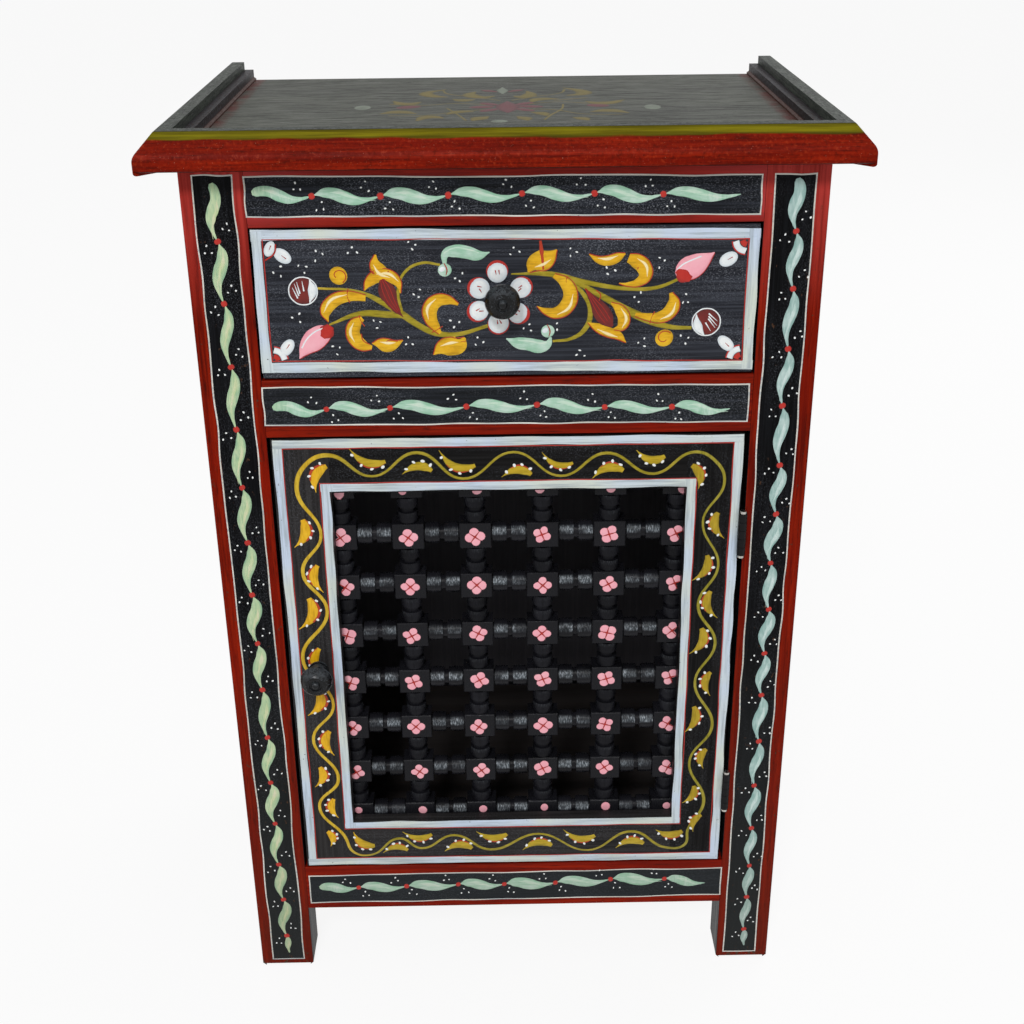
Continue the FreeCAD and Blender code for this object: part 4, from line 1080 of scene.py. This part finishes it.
def board_flowers():
    """Faint flowers round a pink one, all worn thin."""
    chance = random.Random(29)
    stems, curls, pales, pinks = works = started(
        "case", "painted_top", board_face, ("board_stems", worn_ochre, 0.0),
        ("board_curls", worn_ochre, 0.02), ("board_pale_petals", worn_pale, 0.03),
        ("board_pink_petals", worn_pink, 0.03))
    for work in works:
        work.thickness = 0.08
    for stem in board_stems:
        stems.stroke([(x, z, chance.uniform(0.8, 1.2)) for x, z in stem])
    for curl in board_curls:
        halves = (1.0, 5.2, 5.2, 1.4) if len(curl) > 3 else (1.0, 5.6, 1.0)
        curls.stroke([(x, z, half * chance.uniform(0.9, 1.15))
                      for (x, z), half in zip(curl, halves)])
    pales.stroke([(0, 197, 0.8), (0, 212, 4.2), (0, 227, 0.6)])
    for side in (-1, 1):
        pinks.stroke([(side * 4, 206, 1.0), (side * 11, 212, 3.6), (side * 16, 216, 0.6)])
    for x, z, wide, tall in ((-98, 145, 7, 11), (103, 134, 7, 12), (-3, 86, 7, 6)):
        pales.dab(x, z, wide, tall)
    pinks.stroke([(3, 118, 1.0), (3, 131, 7.0), (3, 148, 7.5), (3, 164, 1.0)])
    for x, z, wide, tall, turn in ((-15, 142, 11, 6, 10), (19, 142, 11, 6, -10),
                                   (-66, 145, 11, 7, 20), (66, 143, 10, 7, -20),
                                   (-10, 154, 10, 5, 135), (15, 154, 10, 5, 45),
                                   (-10, 129, 10, 5, 45), (15, 129, 10, 5, 135)):
        pinks.dab(x, z, wide, tall, turn)
    finished(*works)


def side_lines():
    """A cream line just inside the edge of each side panel."""
    chance = random.Random(37)
    rail_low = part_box("side_rail_bottom_left")[1].z / mm
    rail_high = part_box("side_rail_top_left")[0].z / mm
    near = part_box("leg_front_left")[1].y / mm
    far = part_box("leg_back_left")[0].y / mm
    inset = 9
    for name, face, x0, x1 in (("left", left_face, -far, -near), ("right", right_face, near, far)):
        line = Brushwork("side_line_" + name, "case", "painted_panel", cream, face)
        box_line(line, chance, (x0 + inset, x1 - inset, rail_low + inset, rail_high - inset, 0.0),
                 0.6, 0.4)
        line.done()


frame_lines()
frame_garlands()
borders()
door_vine()
drawer_garden()
lattice_flowers()
board_flowers()
side_lines()


# Floor, light and camera
def backdrop_rays(tree):
    """1 for the rays that see the white backdrop: the camera's, and those that gloss or glass
    sends on."""
    rays = tree.nodes.new("ShaderNodeLightPath").outputs
    seen = rays["Is Camera Ray"]
    for ray in ("Is Glossy Ray", "Is Transmission Ray"):
        either = tree.nodes.new("ShaderNodeMath")
        either.operation = "MAXIMUM"
        tree.links.new(seen, either.inputs[0])
        tree.links.new(rays[ray], either.inputs[1])
        seen = either.outputs[0]
    return seen


def white_floor():
    bpy.ops.mesh.primitive_plane_add(size=40)
    floor = bpy.context.object
    floor.name = "floor"
    finish = Finish("floor_white", 0.1)
    finish.shader.inputs["Base Color"].default_value = (0.93, 0.93, 0.93, 1)
    finish.shader.inputs["Roughness"].default_value = 0.9
    seen = Pattern(finish, backdrop_rays(finish.material.node_tree))
    paper = finish.nodes.new("ShaderNodeEmission")
    paper.inputs["Strength"].default_value = 1.0
    mixed = finish.lay("ShaderNodeMixShader", seen * 0.9, finish.shader.outputs[0],
                       paper.outputs[0])
    finish.feed(finish.nodes["Material Output"].inputs["Surface"], mixed)
    floor.data.materials.append(finish.material)


def soft_light():
    world = bpy.data.worlds.new("studio")
    bpy.context.scene.world = world
    world.use_nodes = True
    nodes, links = world.node_tree.nodes, world.node_tree.links
    sky = nodes["Background"]
    sky.inputs["Color"].default_value = (1, 1, 1, 1)
    strength = nodes.new("ShaderNodeMapRange")
    strength.inputs["To Min"].default_value = 0.42
    strength.inputs["To Max"].default_value = 1.0
    links.new(backdrop_rays(world.node_tree), strength.inputs["Value"])
    links.new(strength.outputs[0], sky.inputs["Strength"])
    for name, place, size, power in (("key", (-0.5, -2.7, 2.7), 0.55, 58.0),
                                     ("fill", (1.5, 1.6, 1.9), 1.6, 18.0)):
        lamp = bpy.data.lights.new(name, "AREA")
        lamp.size = size
        lamp.energy = power
        holder = bpy.data.objects.new(name, lamp)
        holder.location = place
        aim = Vector((0, 0, 0.4)) - Vector(place)
        holder.rotation_euler = aim.to_track_quat("-Z", "Y").to_euler()
        bpy.context.scene.collection.objects.link(holder)


def camera():
    """In front of the cabinet and above it, looking down."""
    lens = bpy.data.cameras.new("camera")
    lens.lens = 50.34
    lens.sensor_width = 36.0
    view = bpy.data.objects.new("camera", lens)
    view.location = (-0.0062, -1.0068, 0.8096)
    view.rotation_euler = [math.radians(a) for a in (64.76, 0.575, -0.784)]
    bpy.context.scene.collection.objects.link(view)
    bpy.context.scene.camera = view


white_floor()
soft_light()
camera()
bpy.context.scene.view_settings.view_transform = "Standard"
